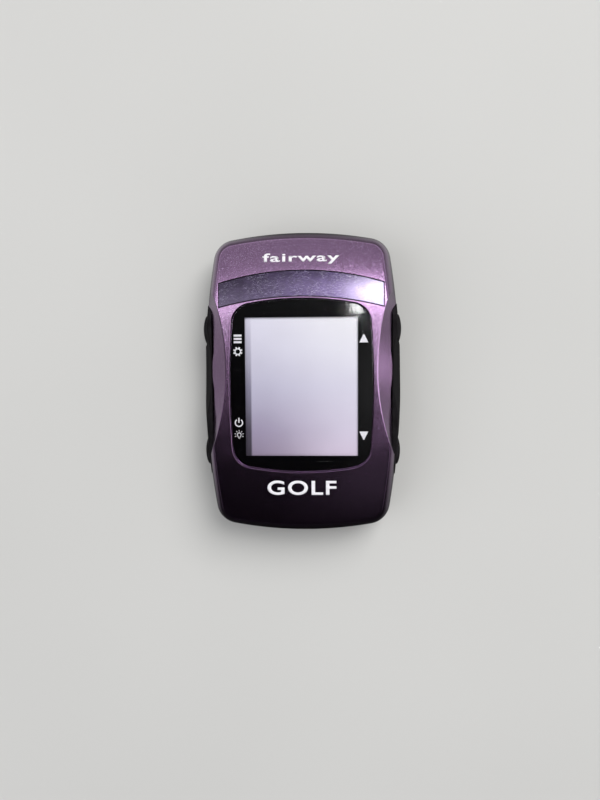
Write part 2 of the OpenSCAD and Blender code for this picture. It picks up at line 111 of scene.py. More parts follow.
def barrel(W, L, Rs, Re, rc, off=0.0, ns=28, nc=16, ne=26, cy=0.0):
    c = corner_c(W, L, Rs, Re, rc)
    al = math.atan2(c[1], c[0] - (W - Rs))
    be = math.atan2(c[0], c[1] - (L - Re))
    q = []
    for i in range(ns):
        a = al * i / ns
        q.append((W - Rs + (Rs - off) * math.cos(a), (Rs - off) * math.sin(a)))
    for i in range(nc):
        a = al + (math.pi / 2 - be - al) * i / nc
        q.append((c[0] + (rc - off) * math.cos(a), c[1] + (rc - off) * math.sin(a)))
    for i in range(ne + 1):
        a = be * (1 - i / ne)
        q.append(((Re - off) * math.sin(a), L - Re + (Re - off) * math.cos(a)))
    q = np.array(q)
    n = len(q) - 1
    out = np.concatenate([
        q[:n],
        (q[n:0:-1]) * [-1, 1],
        (q[:n]) * [-1, -1],
        (q[n:0:-1]) * [1, -1],
    ])
    out[:, 1] += cy
    return out


def barrel_inset(x, y, W, L, Rs, Re, rc, cy=0.0):
    """Distance inwards from the outline; negative outside."""
    c = corner_c(W, L, Rs, Re, rc)
    al = math.atan2(c[1], c[0] - (W - Rs))
    be = math.atan2(c[0], c[1] - (L - Re))
    ax, ay = np.abs(x), np.abs(y - cy)
    ds = Rs - np.hypot(ax - (W - Rs), ay)
    de = Re - np.hypot(ax, ay - (L - Re))
    dc = rc - np.hypot(ax - c[0], ay - c[1])
    in_corner = (np.arctan2(ay, ax - (W - Rs)) > al) & (np.arctan2(ax, ay - (L - Re)) > be)
    return np.where(in_corner, dc, np.minimum(ds, de))


def case_inset(x, y):
    return barrel_inset(x, y, HW, HL, SR, ER, CR)


def lens_inset(x, y):
    return barrel_inset(x, y, LHW, LHL, 240.0, 86.0, 6.0, LY)


def rrect(w, l, r, off=0.0, n=8, step=1.0, cx=0.0, cy=0.0):
    """Rounded rectangle, grown inwards by off."""
    w, l, r = w - 2 * off, l - 2 * off, max(r - off, 0.02)
    pts = []
    for k, (sx, sy) in enumerate([(1, 1), (-1, 1), (-1, -1), (1, -1)]):
        cxx, cyy = sx * (w / 2 - r), sy * (l / 2 - r)
        for i in range(n + 1):
            a = math.pi / 2 * (k + i / n)
            pts.append((cxx + r * math.cos(a), cyy + r * math.sin(a)))
    return densify(np.array(pts), step) + [cx, cy]


def rrect_inset(x, y, w, l, r, cx=0.0, cy=0.0):
    qx = np.abs(x - cx) - (w / 2 - r)
    qy = np.abs(y - cy) - (l / 2 - r)
    return r - (np.hypot(np.maximum(qx, 0), np.maximum(qy, 0)) + np.minimum(np.maximum(qx, qy), 0))


def densify(p, step, closed=True):
    out = []
    n = len(p)
    for i in range(n if closed else n - 1):
        a, b = p[i], p[(i + 1) % n]
        d = np.linalg.norm(b - a)
        if d < 1e-6:
            continue
        k = max(1, int(math.ceil(d / step)))
        for j in range(k):
            out.append(a + (b - a) * j / k)
    if not closed:
        out.append(p[-1])
    return np.array(out)


def circle(cx, cy, r, n=40):
    a = np.linspace(0, 2 * math.pi, n, endpoint=False)
    return np.stack([cx + r * np.cos(a), cy + r * np.sin(a)], 1)


BR = (33.1 - 83.0, 83.0, 25.55 - 96.0, 96.0, 24.2)


def brow_loop(g, n=110):
    """Outline of the arched strip grown by g."""
    c1, r1, c2, r2, w = BR[0], BR[1] + g, BR[2], BR[3] - g, BR[4] + g
    xs = np.linspace(w, -w, n)
    top = np.stack([xs, c1 + np.sqrt(r1 * r1 - xs * xs)], 1)
    xs = xs[::-1]
    bot = np.stack([xs, c2 + np.sqrt(r2 * r2 - xs * xs)], 1)
    return densify(np.concatenate([top, bot]), 0.7)


def brow_out(x, y):
    """Distance outwards from the strip's outline, roughly; negative inside."""
    return np.maximum(np.maximum(np.hypot(x, y - BR[0]) - BR[1], BR[3] - np.hypot(x, y - BR[2])), np.abs(x) - BR[4])


def pill_loop(y0, y1, zc, r, off=0.0, n=20, step=0.8):
    r = r - off
    y0, y1 = y0 + off, y1 - off
    pts = []
    for i in range(n + 1):
        a = -math.pi / 2 + math.pi * i / n
        pts.append((y1 - r + r * math.cos(a), zc + r * math.sin(a)))
    for i in range(n + 1):
        a = math.pi / 2 + math.pi * i / n
        pts.append((y0 + r + r * math.cos(a), zc + r * math.sin(a)))
    return densify(np.array(pts), step)


def pill_inset(y, z, y0, y1, zc, r):
    q = np.maximum(np.maximum(y0 + r - y, y - (y1 - r)), 0)
    return r - np.hypot(q, z - zc)


def smin(a, b, k):
    h = np.maximum(k - np.abs(a - b), 0) / k
    return np.minimum(a, b) - h * h * k * 0.25


def fall(s, r):
    """How far a rounded edge of radius r has dropped at distance s inside the edge."""
    q = r - np.clip(s, 0, r)
    return r - np.sqrt(np.maximum(r * r - q * q, 0))


# offsets at which a rounded edge of radius r needs vertices
def steps(r, n=5):
    return [r * (1 - math.cos(math.pi / 2 * i / n)) for i in range(1, n + 1)]


def poly_dist(x, y, loop):
    p = np.stack([x.ravel(), y.ravel()], 1)
    a = loop
    b = np.roll(loop, -1, 0)
    best = np.full(len(p), 1e9)
    for i in range(0, len(p), 4000):
        q = p[i:i + 4000, None, :]
        ab = (b - a)[None]
        t = np.clip(((q - a[None]) * ab).sum(2) / np.maximum((ab * ab).sum(2), 1e-12), 0, 1)
        d = np.linalg.norm(q - (a[None] + t[..., None] * ab), axis=2)
        best[i:i + 4000] = d.min(1)
    return best.reshape(x.shape)


def poly_inside(x, y, loop):
    x, y = np.asarray(x), np.asarray(y)
    a = loop
    b = np.roll(loop, -1, 0)
    inside = np.zeros(x.shape, bool)
    for (x0, y0), (x1, y1) in zip(a, b):
        if y0 == y1:
            continue
        hit = ((y0 > y) != (y1 > y)) & (x < (x1 - x0) * (y - y0) / (y1 - y0) + x0)
        inside ^= hit
    return inside


def inward(loop, off):
    """Loop (anticlockwise) moved inwards by off, by vertex normals."""
    p = np.roll(loop, 1, 0)
    q = np.roll(loop, -1, 0)
    t = q - p
    t /= np.maximum(np.linalg.norm(t, axis=1), 1e-9)[:, None]
    return loop + np.stack([-t[:, 1], t[:, 0]], 1) * off


# ------------------------------------------------------------------ mesh helpers
def new_object(name, verts, faces, smooth=True, angle=None):
    me = bpy.data.meshes.new(name)
    me.from_pydata([tuple(v) for v in verts], [], faces)
    me.update()
    if smooth:
        me.shade_smooth()
        if angle is not None:
            me.set_sharp_from_angle(angle=math.radians(angle))
    ob = bpy.data.objects.new(name, me)
    scene.collection.objects.link(ob)
    return ob


def sheet(loops, lines, grid, inside):
    """Triangles over the region where inside(x, y) holds. loops and lines become edges; grid adds points."""
    verts, edges = [], []
    for p in loops:
        n0 = len(verts)
        verts += [Vector((float(a), float(b))) for a, b in p]
        edges += [(n0 + i, n0 + (i + 1) % len(p)) for i in range(len(p))]
    for p in lines:
        n0 = len(verts)
        verts += [Vector((float(a), float(b))) for a, b in p]
        edges += [(n0 + i, n0 + i + 1) for i in range(len(p) - 1)]
    verts += [Vector((float(a), float(b))) for a, b in grid]
    v, e, f, _, _, _ = delaunay_2d_cdt(verts, edges, [], 0, 1e-5)
    v = np.array([(a[0], a[1]) for a in v])
    f = np.array(f)
    c = v[f].mean(1)
    keep = inside(c[:, 0], c[:, 1])
    f = f[keep]
    # one winding
    a, b, d = v[f[:, 0]], v[f[:, 1]], v[f[:, 2]]
    area = (b[:, 0] - a[:, 0]) * (d[:, 1] - a[:, 1]) - (b[:, 1] - a[:, 1]) * (d[:, 0] - a[:, 0])
    f[area < 0] = f[area < 0][:, ::-1]
    f = f[np.abs(area) > 1e-12]
    used = np.unique(f)
    remap = np.full(len(v), -1)
    remap[used] = np.arange(len(used))
    return v[used], remap[f]


def solid(name, loops, lines, grid, inside, top, bot, to3, flip=False, merge=True, angle=32):
    """A closed piece between top(x, y) and bot(x, y) over a plane region, mapped to 3-D by to3."""
    v, f = sheet(loops, lines, grid, inside)
    n = len(v)
    zt = top(v[:, 0], v[:, 1])
    zb = bot(v[:, 0], v[:, 1])
    P = np.concatenate([to3(v[:, 0], v[:, 1], zt), to3(v[:, 0], v[:, 1], zb)])
    half = {}
    for t in f:
        for i in range(3):
            a, b = int(t[i]), int(t[(i + 1) % 3])
            half[(a, b)] = True
    faces = [tuple(int(i) for i in t) for t in f]
    faces += [tuple(int(i) + n for i in t[::-1]) for t in f]
    for (a, b) in half:
        if (b, a) not in half:
            faces.append((b, a, a + n, b + n))
    if flip:
        faces = [tuple(reversed(t)) for t in faces]
    me = bpy.data.meshes.new(name)
    me.from_pydata([tuple(p) for p in P * MM], [], faces)
    me.update()
    if merge:
        import bmesh
        bm = bmesh.new()
        bm.from_mesh(me)
        bmesh.ops.remove_doubles(bm, verts=bm.verts, dist=1e-7)
        bmesh.ops.dissolve_degenerate(bm, edges=bm.edges, dist=1e-8)
        bmesh.ops.triangulate(bm, faces=bm.faces)
        bm.to_mesh(me)
        bm.free()
    me.shade_smooth()
    me.set_sharp_from_angle(angle=math.radians(angle))
    ob = bpy.data.objects.new(name, me)
    scene.collection.objects.link(ob)
    return ob


def xy_to3(x, y, z):
    return np.stack([x, y, z], 1)


def yz_to3(s):
    return lambda y, z, x: np.stack([s * x, y, z], 1)


def grid_points(x0, x1, y0, y1, step, keep):
    xs = np.arange(x0, x1, step)
    ys = np.arange(y0, y1, step * 0.866)
    out = []
    for k, yy in enumerate(ys):
        xx = xs + (step / 2 if k % 2 else 0)
        out.append(np.stack([xx, np.full(len(xx), yy)], 1))
    p = np.concatenate(out)
    return p[keep(p[:, 0], p[:, 1])]


def boolean(ob, cutters, op="DIFFERENCE", remove=True):
    for c in cutters:
        m = ob.modifiers.new("cut", "BOOLEAN")
        m.operation = op
        m.object = c
        m.solver = "MANIFOLD"
    bpy.context.view_layer.update()
    dg = bpy.context.evaluated_depsgraph_get()
    me = bpy.data.meshes.new_from_object(ob.evaluated_get(dg))
    ob.modifiers.clear()
    old = ob.data
    ob.data = me
    bpy.data.meshes.remove(old)
    if remove:
        for c in cutters:
            bpy.data.objects.remove(c)
    return ob


def prism(name, loop, lo, hi, to3, flip=False):
    """Closed prism of a loop in the first two coordinates, between lo and hi in the third."""
    n = len(loop)
    A = to3(loop[:, 0], loop[:, 1], np.full(n, lo))
    B = to3(loop[:, 0], loop[:, 1], np.full(n, hi))
    faces = [tuple(range(n))[::-1], tuple(range(n, 2 * n))]
    faces += [(i, (i + 1) % n, n + (i + 1) % n, n + i) for i in range(n)]
    if flip:
        faces = [tuple(reversed(t)) for t in faces]
    return new_object(name, np.concatenate([A, B]) * MM, faces, smooth=False)


def lathe(name, prof, centre, axis="z", n=48, closed=False, angle=32):
    """Turned piece: prof is (radius, height) pairs from one end of the axis to the other."""
    verts, faces, rows = [], [], []
    for r, h in prof:
        row = []
        if r < 1e-6:
            row = [len(verts)] * n
            verts.append((0, 0, h))
        else:
            for i in range(n):
                a = 2 * math.pi * i / n
                row.append(len(verts))
                verts.append((r * math.cos(a), r * math.sin(a), h))
        rows.append(row)
    m = len(rows)
    for k in range(m if closed else m - 1):
        a, b = rows[k], rows[(k + 1) % m]
        for i in range(n):
            j = (i + 1) % n
            q = [a[i], a[j], b[j], b[i]]
            q = [x for t, x in enumerate(q) if x != q[t - 1]]
            if len(q) >= 3:
                faces.append(tuple(q))
    v = np.array(verts, float)
    if axis == "x":
        v = v[:, [2, 0, 1]]
    v = (v + np.array(centre)) * MM
    return new_object(name, v, faces, angle=angle)


def join(obs, name):
    import bmesh
    bm = bmesh.new()
    for o in obs:
        me = o.data.copy()
        me.transform(o.matrix_world)
        bm.from_mesh(me)
        bpy.data.meshes.remove(me)
    me = bpy.data.meshes.new(name)
    bm.to_mesh(me)
    bm.free()
    for o in obs:
        bpy.data.objects.remove(o)
    ob = bpy.data.objects.new(name, me)
    scene.collection.objects.link(ob)
    return ob


# ------------------------------------------------------------------ the case's faces
def face_z(x, y):
    return T - CROWN * (x / 27.0) ** 2 - DROP * (np.maximum(0, np.abs(y) - 18.0) / 27.5) ** 2


def front_z(x, y):
    t = np.clip(case_inset(x, y) / EA, 0, 1)
    h = np.power(np.maximum(1 - np.power(1 - t, FN), 0), 1 / FN)
    return PZ + (face_z(x, y) - PZ) * h


def back_z(x, y):
    t = np.clip(case_inset(x, y) / BA, 0, 1)
    h = np.power(np.maximum(1 - np.power(1 - t, BN), 0), 1 / BN)
    return PZ - PZ * h


def scoop_z(x, y):
    v = y - SCY
    return 19.1 - (np.abs(x) - SCX - v * v / (2 * SCR)) / np.maximum(0.15, SCK - SCT * v * v)


def cover_top(x, y):
    return smin(front_z(x, y), scoop_z(x, y), 0.22)


EDGE_R = 0.17
ZTOP = 19.234
LENS_R = 0.12


def cover_outer(x, y):
    z = cover_top(x, y)
    sb = brow_out(x, y) - 0.06
    sl = -lens_inset(x, y) - 0.08
    z = z - fall(sb, EDGE_R) - fall(sl, LENS_R)
    z = np.where(sb < -0.006, front_z(x, y) - 0.9, z)
    z = np.where(sl < -0.006, 17.2, z)
    return z


def cover_inner(x, y):
    z = np.minimum(16.0, cover_top(x, y) - 1.2)
    return np.where(rrect_inset(x, y, CAVW, CAVL, CAVR) > 0.006, np.maximum(z, PZ), PZ)


def crease_lines():
    """Where the scoop leaves the front face, and where it meets the side, as rows of points along the length."""
    yy = np.arange(-26.0, 32.0, 0.3)
    xx = np.arange(20.0, 29.9, 0.005)
    Y, X = np.meshgrid(yy, xx, indexing="ij")
    g = front_z(X, Y) - scoop_z(X, Y)
    g[case_inset(X, Y) < 0.0] = -9
    inner, outer = [], []
    for i in range(len(yy)):
        pos = np.where(g[i] > 0)[0]
        if len(pos) < 16:
            continue
        inner.append((xx[pos[0]], yy[i]))
        outer.append((xx[pos[-1]], yy[i]))
    return np.array(inner), np.array(outer)


def side_line(rows, d, s):
    return np.stack([s * (rows[:, 0] - d), rows[:, 1]], 1)


def ring_insets(a, n, m=15):
    return [a * (1 - math.cos(math.pi / 2 * k / m) ** (2 / n)) for k in range(m + 1)]


def analytic_normals(ob, outer, sign, eps=0.004):
    """Smooth normals from the surface's formula where a face lies on it."""
    me = ob.data
    n = len(me.loops)
    co = np.zeros(len(me.vertices) * 3)
    me.vertices.foreach_get("co", co)
    co = co.reshape(-1, 3) / MM
    x, y, z = co[:, 0], co[:, 1], co[:, 2]
    on = np.abs(outer(x, y) - z) < 0.07
    gx = (outer(x + eps, y) - outer(x - eps, y)) / (2 * eps)
    gy = (outer(x, y + eps) - outer(x, y - eps)) / (2 * eps)
    an = np.stack([-gx, -gy, np.ones_like(gx)], 1) * sign
    an /= np.linalg.norm(an, axis=1)[:, None]
    ins = case_inset(x, y)
    on &= (ins > 0.012) & np.isfinite(an).all(1)
    li = np.zeros(n, np.int32)
    me.loops.foreach_get("vertex_index", li)
    fn = np.zeros(len(me.polygons) * 3)
    me.polygons.foreach_get("normal", fn)
    fn = fn.reshape(-1, 3)
    tot = np.zeros(len(me.polygons), np.int32)
    me.polygons.foreach_get("loop_total", tot)
    lf = np.repeat(np.arange(len(tot)), tot)
    cn = np.zeros(n * 3, np.float32)
    me.corner_normals.foreach_get("vector", cn)
    cn = cn.reshape(-1, 3)
    ok = on[li] & ((an[li] * fn[lf]).sum(1) > 0.86) & ((an[li] * cn).sum(1) > 0.80)
    cn[ok] = an[li][ok]
    me.normals_split_custom_set([tuple(v) for v in cn])


# ================================================================== FRONT COVER
def build_front():
    loops, lines = [], []
    for d in ring_insets(EA, FN):
        loops.append(barrel(HW, HL, SR, ER, CR, d, 40, 20, 34))
    loops.append(barrel(HW, HL, SR, ER, CR, EA + 0.9, 30, 10, 26))
    inner, outer = crease_lines()
    for s in (1, -1):
        for d in (-0.34, -0.2, -0.1, 0.0, 0.1, 0.2, 0.34):
            p = side_line(inner, d, s)
            lines.append(p[case_inset(p[:, 0], p[:, 1]) > 0.05])
        for d in (-0.1, 0.0, 0.12, 0.3):
            p = side_line(outer, d, s)
            p = p[case_inset(p[:, 0], p[:, 1]) > 0.02]
            lines.append(p)
    for g in [0.06 - 0.012, 0.06] + [0.06 + s for s in steps(EDGE_R, 4)]:
        loops.append(brow_loop(g))
    for g in [-0.068, -0.08] + [-0.08 - s for s in steps(LENS_R, 4)]:
        loops.append(barrel(LHW, LHL, 240.0, 86.0, 6.0, g, 34, 16, 34, LY))
    hole = rrect(37.4, 45.2, 3.0, cy=WINY)
    loops.append(hole)
    loops.append(rrect(CAVW, CAVL, CAVR))
    loops.append(rrect(CAVW, CAVL, CAVR, 0.012))

    def keep(x, y):
        k = case_inset(x, y) > EA + 0.5
        k &= np.abs(brow_out(x, y) - 0.12) > 0.4
        k &= np.abs(lens_inset(x, y) + 0.15) > 0.45
        return k
    grid = grid_points(-30, 30, -46, 46, 0.95, keep)

    def inside(x, y):
        return (case_inset(x, y) > -1e-4) & (rrect_inset(x, y, 37.4, 45.2, 3.0, cy=WINY) < 0)
    ob = solid("front_shell", loops, lines, grid, inside, lambda x, y: np.minimum(cover_outer(x, y), ZTOP), cover_inner, xy_to3)
    cut = []
    for s in (1, -1):
        cut.append(prism("c1", pill_loop(RY0 - 0.12, RY1 + 0.12, RZ, RR + 0.12), RIN, HW + 3, yz_to3(s), flip=s < 0))
        for yb in (UY, LWY):
            cut.append(prism("c2", pill_loop(yb - CAPL / 2 - 1, yb + CAPL / 2 + 1, BZ, CAPH / 2 + 1), 26.1, RIN + 0.5, yz_to3(s), flip=s < 0))
            cut.append(prism("c3", circle(yb, BZ, 1.1, 32), 24.1, 26.3, yz_to3(s), flip=s < 0))
            cut.append(prism("c4", circle(yb, BZ, 1.65, 32), 25.44, 26.2, yz_to3(s), flip=s < 0))
    boolean(ob, cut)
    seam = seam_cutter()
    boolean(ob, [seam])
    ob.data.shade_smooth()
    ob.data.set_sharp_from_angle(angle=math.radians(32))
    analytic_normals(ob, cover_outer, 1)
    return ob


def seam_cutter():
    """A thin band round the case at the parting line."""
    o = barrel(HW, HL, SR, ER, CR, -1.0, 40, 20, 34)
    i = barrel(HW, HL, SR, ER, CR, 0.22, 40, 20, 34)
    n = len(o)
    z0, z1 = PZ - 0.07, PZ + 0.07
    v = []
    for p, z in ((o, z0), (o, z1), (i, z1), (i, z0)):
        v += [(a, b, z) for a, b in p]
    f = []
    for k in range(4):
        a, b = k * n, ((k + 1) % 4) * n
        f += [(a + j, a + (j + 1) % n, b + (j + 1) % n, b + j) for j in range(n)]
    return new_object("seam", np.array(v) * MM, f, smooth=False)


front = build_front()
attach(front, "case")
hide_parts("front_cover")
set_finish(front, "cover_paint")


# ================================================================== BROW STRIP
def build_brow():
    r = 0.22
    loops = [brow_loop(0.04)] + [brow_loop(0.04 - s) for s in steps(r, 5)] + [brow_loop(0.04 - r - 0.03)]

    def top(x, y):
        return front_z(x, y) - 0.12 - fall(0.04 - brow_out(x, y), r)

    def bot(x, y):
        return front_z(x, y) - 0.86
    grid = grid_points(-25, 25, 20, 34, 0.8, lambda x, y: brow_out(x, y) < -0.6)
    return solid("brow_strip", loops, [], grid, lambda x, y: brow_out(x, y) < 0.0405, top, bot, xy_to3)


brow = build_brow()
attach(brow, "case")
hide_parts("brow_inlay")
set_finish(brow, "brow_gloss")


# ================================================================== LENS
def build_lens():
    r = 0.3
    loops = [barrel(LHW, LHL, 240.0, 86.0, 6.0, g, 34, 16, 34, LY) for g in [0.0] + steps(r, 5) + [r + 0.03, r + 0.3]]

    def top(x, y):
        return LTOP - fall(lens_inset(x, y), r)

    def bot(x, y):
        return np.full_like(x, LBOT + 0.05)
    grid = grid_points(-21, 21, -26, 25, 4.0, lambda x, y: lens_inset(x, y) > 1.5)
    return solid("screen_lens", loops, [], grid, lambda x, y: lens_inset(x, y) > -1e-4, top, bot, xy_to3)


lens = build_lens()
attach(lens, "case")
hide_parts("lens")
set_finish(lens, "lens_acrylic")


# ================================================================== REAR COVER
def label_out(x, y):
    return -rrect_inset(x, y, 30.3, 18.3, 2.15, 0, -8)


RIBS = [-26.5 - 2.1 * i for i in range(5)]


def rib_drop(x, y):
    """Shallow moulded finger grooves across the lower back."""
    z = np.zeros_like(x)
    for yc in RIBS:
        d = np.abs(y - yc - 0.004 * x * x * -1)
        w = np.clip((17.0 - np.abs(x)) / 1.5, 0, 1)
        z += 0.22 * np.clip(1 - (d / 0.55) ** 2, 0, 1) * w * w * (3 - 2 * w)
    return z


def rear_outer(x, y):
    z = back_z(x, y)
    z = z + fall(label_out(x, y), 0.12)
    z = np.where(label_out(x, y) < -0.006, 0.15, z)
    z = z + rib_drop(x, y)
    for sx in (-1, 1):
        for sy in (-1, 1):
            s = np.hypot(x - sx * SX, y - sy * SY) - 2.15
            z = z + fall(s, 0.25)
            z = np.where(s < -0.006, 2.6, z)
    s = np.hypot(x, y - CLIPY) - 2.6
    z = z + fall(s, 0.2)
    z = np.where(s < -0.006, 4.7, z)
    return z


def rear_inner(x, y):
    z = np.where(rrect_inset(x, y, CAVW, CAVL, CAVR) > 0.006, 1.6, PZ)
    for sx in (-1, 1):
        for sy in (-1, 1):
            z = np.where(np.hypot(x - sx * SX, y - sy * SY) < 3.1, PZ - 0.05, z)
    z = np.where(np.hypot(x, y - CLIPY) < 4.2, 6.2, z)
    return np.minimum(z, PZ)


def build_rear():
    loops, lines = [], []
    for d in ring_insets(BA, BN):
        loops.append(barrel(HW, HL, SR, ER, CR, d, 40, 20, 34))
    for g in (0.012, 0.0):
        loops.append(rrect(30.3, 18.3, 2.15, g, cy=-8))
    for s in steps(0.12, 3):
        loops.append(rrect(30.3, 18.3, 2.15, -s, cy=-8))
    for sx in (-1, 1):
        for sy in (-1, 1):
            for g in [-0.012, 0.0] + steps(0.25, 4):
                loops.append(circle(sx * SX, sy * SY, 2.15 + g, 44))
            for g in (0, 0.012):
                loops.append(circle(sx * SX, sy * SY, 3.1 - g, 30))
    for g in [-0.012, 0.0] + steps(0.2, 4):
        loops.append(circle(0, CLIPY, 2.6 + g, 48))
    for g in (0, 0.012):
        loops.append(circle(0, CLIPY, 4.2 - g, 36))
    for yc in RIBS:
        for d in (-0.55, -0.4, -0.2, 0.0, 0.2, 0.4, 0.55):
            xs = np.linspace(-17, 17, 50)
            lines.append(np.stack([xs, yc - 0.004 * xs * xs + d], 1))
    loops.append(rrect(CAVW, CAVL, CAVR))
    loops.append(rrect(CAVW, CAVL, CAVR, 0.012))

    def keep(x, y):
        k = case_inset(x, y) > BA + 0.5
        k &= np.abs(label_out(x, y)) > 0.5
        k &= np.abs(np.hypot(np.abs(x) - SX, np.abs(y) - SY) - 2.3) > 0.5
        return k
    grid = grid_points(-30, 30, -46, 46, 1.2, keep)
    ob = solid("rear_shell", loops, lines, grid, lambda x, y: case_inset(x, y) > -1e-4, rear_outer, rear_inner, xy_to3, flip=True)
    cut = []
    for s in (1, -1):
        cut.append(prism("c1", pill_loop(RY0 - 0.12, RY1 + 0.12, RZ, RR + 0.12), RIN, HW + 3, yz_to3(s), flip=s < 0))
        for yb in (UY, LWY):
            cut.append(prism("c2", pill_loop(yb - CAPL / 2 - 1, yb + CAPL / 2 + 1, BZ, CAPH / 2 + 1), 26.1, RIN + 0.5, yz_to3(s), flip=s < 0))
    boolean(ob, cut)
    # port recess, hinge relief, port opening and thumbnail notch
    box = prism("c3", np.array([[PCX - 1.4, -50], [6.8, -50], [6.8, -43.3], [PCX - 1.4, -43.3]]), PC0, PC1, xy_to3)
    rel = prism("c4", circle(PCX, PCY, 1.2, 40), PC0, PC1, xy_to3)
    port = prism("c5", rrect_xz(-4.2, 4.2, PORTZ - 1.55, PORTZ + 1.55, 0.5), -43.6, -41.0, lambda a, b, c: np.stack([a, c, b], 1), flip=True)
    notch = prism("c6", circle(8.0, -47.2, 2.6, 64), 4.8, 9.2, xy_to3)
    boolean(ob, [box, rel, port, notch])
    boolean(ob, [seam_cutter()])
    ob.data.shade_smooth()
    ob.data.set_sharp_from_angle(angle=math.radians(32))
    analytic_normals(ob, rear_outer, -1)
    return ob


def rrect_xz(x0, x1, z0, z1, r):
    p = rrect(x1 - x0, z1 - z0, r, step=0.5)
    return p + [(x0 + x1) / 2, (z0 + z1) / 2]


rear = build_rear()
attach(rear, "case")
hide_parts("rear_cover")
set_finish(rear, "rear_plastic")


# ================================================================== RAILS
def body_x(y, z):
    fz = face_z(np.full_like(y, 27.6), y)
    hf = np.clip((z - PZ) / (fz - PZ), 0, 1)
    tf = 1 - np.power(np.maximum(1 - np.power(hf, FN), 0), 1 / FN)
    hb = np.clip((PZ - z) / PZ, 0, 1)
    tb = 1 - np.power(np.maximum(1 - np.power(hb, BN), 0), 1 / BN)
    d = np.where(z >= PZ, EA * tf, BA * tb)
    return HW - SR + np.sqrt((SR - d) ** 2 - y * y)


def rail_cone_x(y, z):
    rho = 53.6 + (z - 8.0) * (4.1 / 7.6)
    return 84.6 - np.sqrt(np.maximum(rho * rho - (y - 4.0) ** 2, 0))


def rail_x(y, z):
    return smin(body_x(y, z) + 0.19, rail_cone_x(y, z), 0.35)


def rail_outline():
    p = pill_loop(RY0, RY1, RZ, RR, step=0.5)
    zc = 8 + (np.sqrt((84.6 - 27.45) ** 2 + (p[:, 0] - 4.0) ** 2) - 53.6) * 7.6 / 4.1
    p[:, 1] = np.where(p[:, 1] > RZ, np.minimum(p[:, 1], zc), p[:, 1])
    return p


def build_rail(s, name):
    out = rail_outline()
    r, rb = 0.3, 0.22
    loops = [out] + [inward(out, q) for q in steps(r, 4)]
    for yb in (UY, LWY):
        for g in [0.0] + [-q for q in steps(rb, 3)]:
            loops.append(pill_loop(yb - CAPL / 2 - 0.12, yb + CAPL / 2 + 0.12, BZ, CAPH / 2 + 0.12, g, step=0.5))

    def hole_out(y, z):
        a = -pill_inset(y, z, UY - CAPL / 2 - 0.12, UY + CAPL / 2 + 0.12, BZ, CAPH / 2 + 0.12)
        b = -pill_inset(y, z, LWY - CAPL / 2 - 0.12, LWY + CAPL / 2 + 0.12, BZ, CAPH / 2 + 0.12)
        return np.minimum(a, b)

    def top(y, z):
        return np.maximum(rail_x(y, z) - fall(poly_dist(y, z, out), r) - fall(hole_out(y, z), rb), 27.12)

    def bot(y, z):
        return np.full_like(y, 27.1)

    def inside(y, z):
        return poly_inside(y, z, out) & (hole_out(y, z) > 0)

    grid = grid_points(RY0, RY1, RZ - RR, RZ + RR, 0.55, lambda y, z: inside(y, z) & (poly_dist(y, z, out) > 0.45) & (hole_out(y, z) > 0.4))
    return solid(name, loops, [], grid, inside, top, bot, yz_to3(s), flip=s < 0, angle=40)


for s, name, node in ((1, "right_grip_rail", "right_rail"), (-1, "left_grip_rail", "left_rail")):
    ob = build_rail(s, name)
    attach(ob, "case")
    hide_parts(node)
    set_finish(ob, "rail_plastic")


# ================================================================== KEYS
def build_key(s, yb, xc, name):
    r = 0.55
    y0, y1 = yb - CAPL / 2, yb + CAPL / 2
    loops = [pill_loop(y0, y1, BZ, CAPH / 2, g, n=24, step=0.5) for g in [0.0] + steps(r, 6)]

    def top(y, z):
        x = xc - 12 + np.sqrt(144 - (y - yb) ** 2 - (z - BZ) ** 2)
        return x - fall(pill_inset(y, z, y0, y1, BZ, CAPH / 2), r)

    def bot(y, z):
        return np.full_like(y, 27.0)
    grid = grid_points(y0, y1, BZ - 2.2, BZ + 2.2, 0.4, lambda y, z: pill_inset(y, z, y0, y1, BZ, CAPH / 2) > 0.75)
    cap = solid(name + "_cap", loops, [], grid, lambda y, z: pill_inset(y, z, y0, y1, BZ, CAPH / 2) > -1e-4, top, bot, yz_to3(s), flip=s < 0, angle=40)
    fl = pill_loop(y0 - 0.8, y1 + 0.8, BZ, CAPH / 2 + 0.8, 0, step=0.6)
    flange = prism(name + "_fl", fl, 26.62, 27.02, yz_to3(s), flip=s < 0)
    stem = prism(name + "_st", circle(yb, BZ, 1.0, 32), 24.72, 26.68, yz_to3(s), flip=s < 0)
    ob = join([cap, flange, stem], name)
    ob.data.shade_smooth()
    ob.data.set_sharp_from_angle(angle=math.radians(40))
    return ob


for s, yb, xc, name in ((1, UY, CAPX[0], "up_button"), (1, LWY, CAPX[1], "down_button"),
                        (-1, UY, CAPX[0], "menu_button"), (-1, LWY, CAPX[1], "power_button")):
    ob = build_key(s, yb, xc, name.replace("button", "key"))
    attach(ob, name)
    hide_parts(name)
    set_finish(ob, "button_plastic")


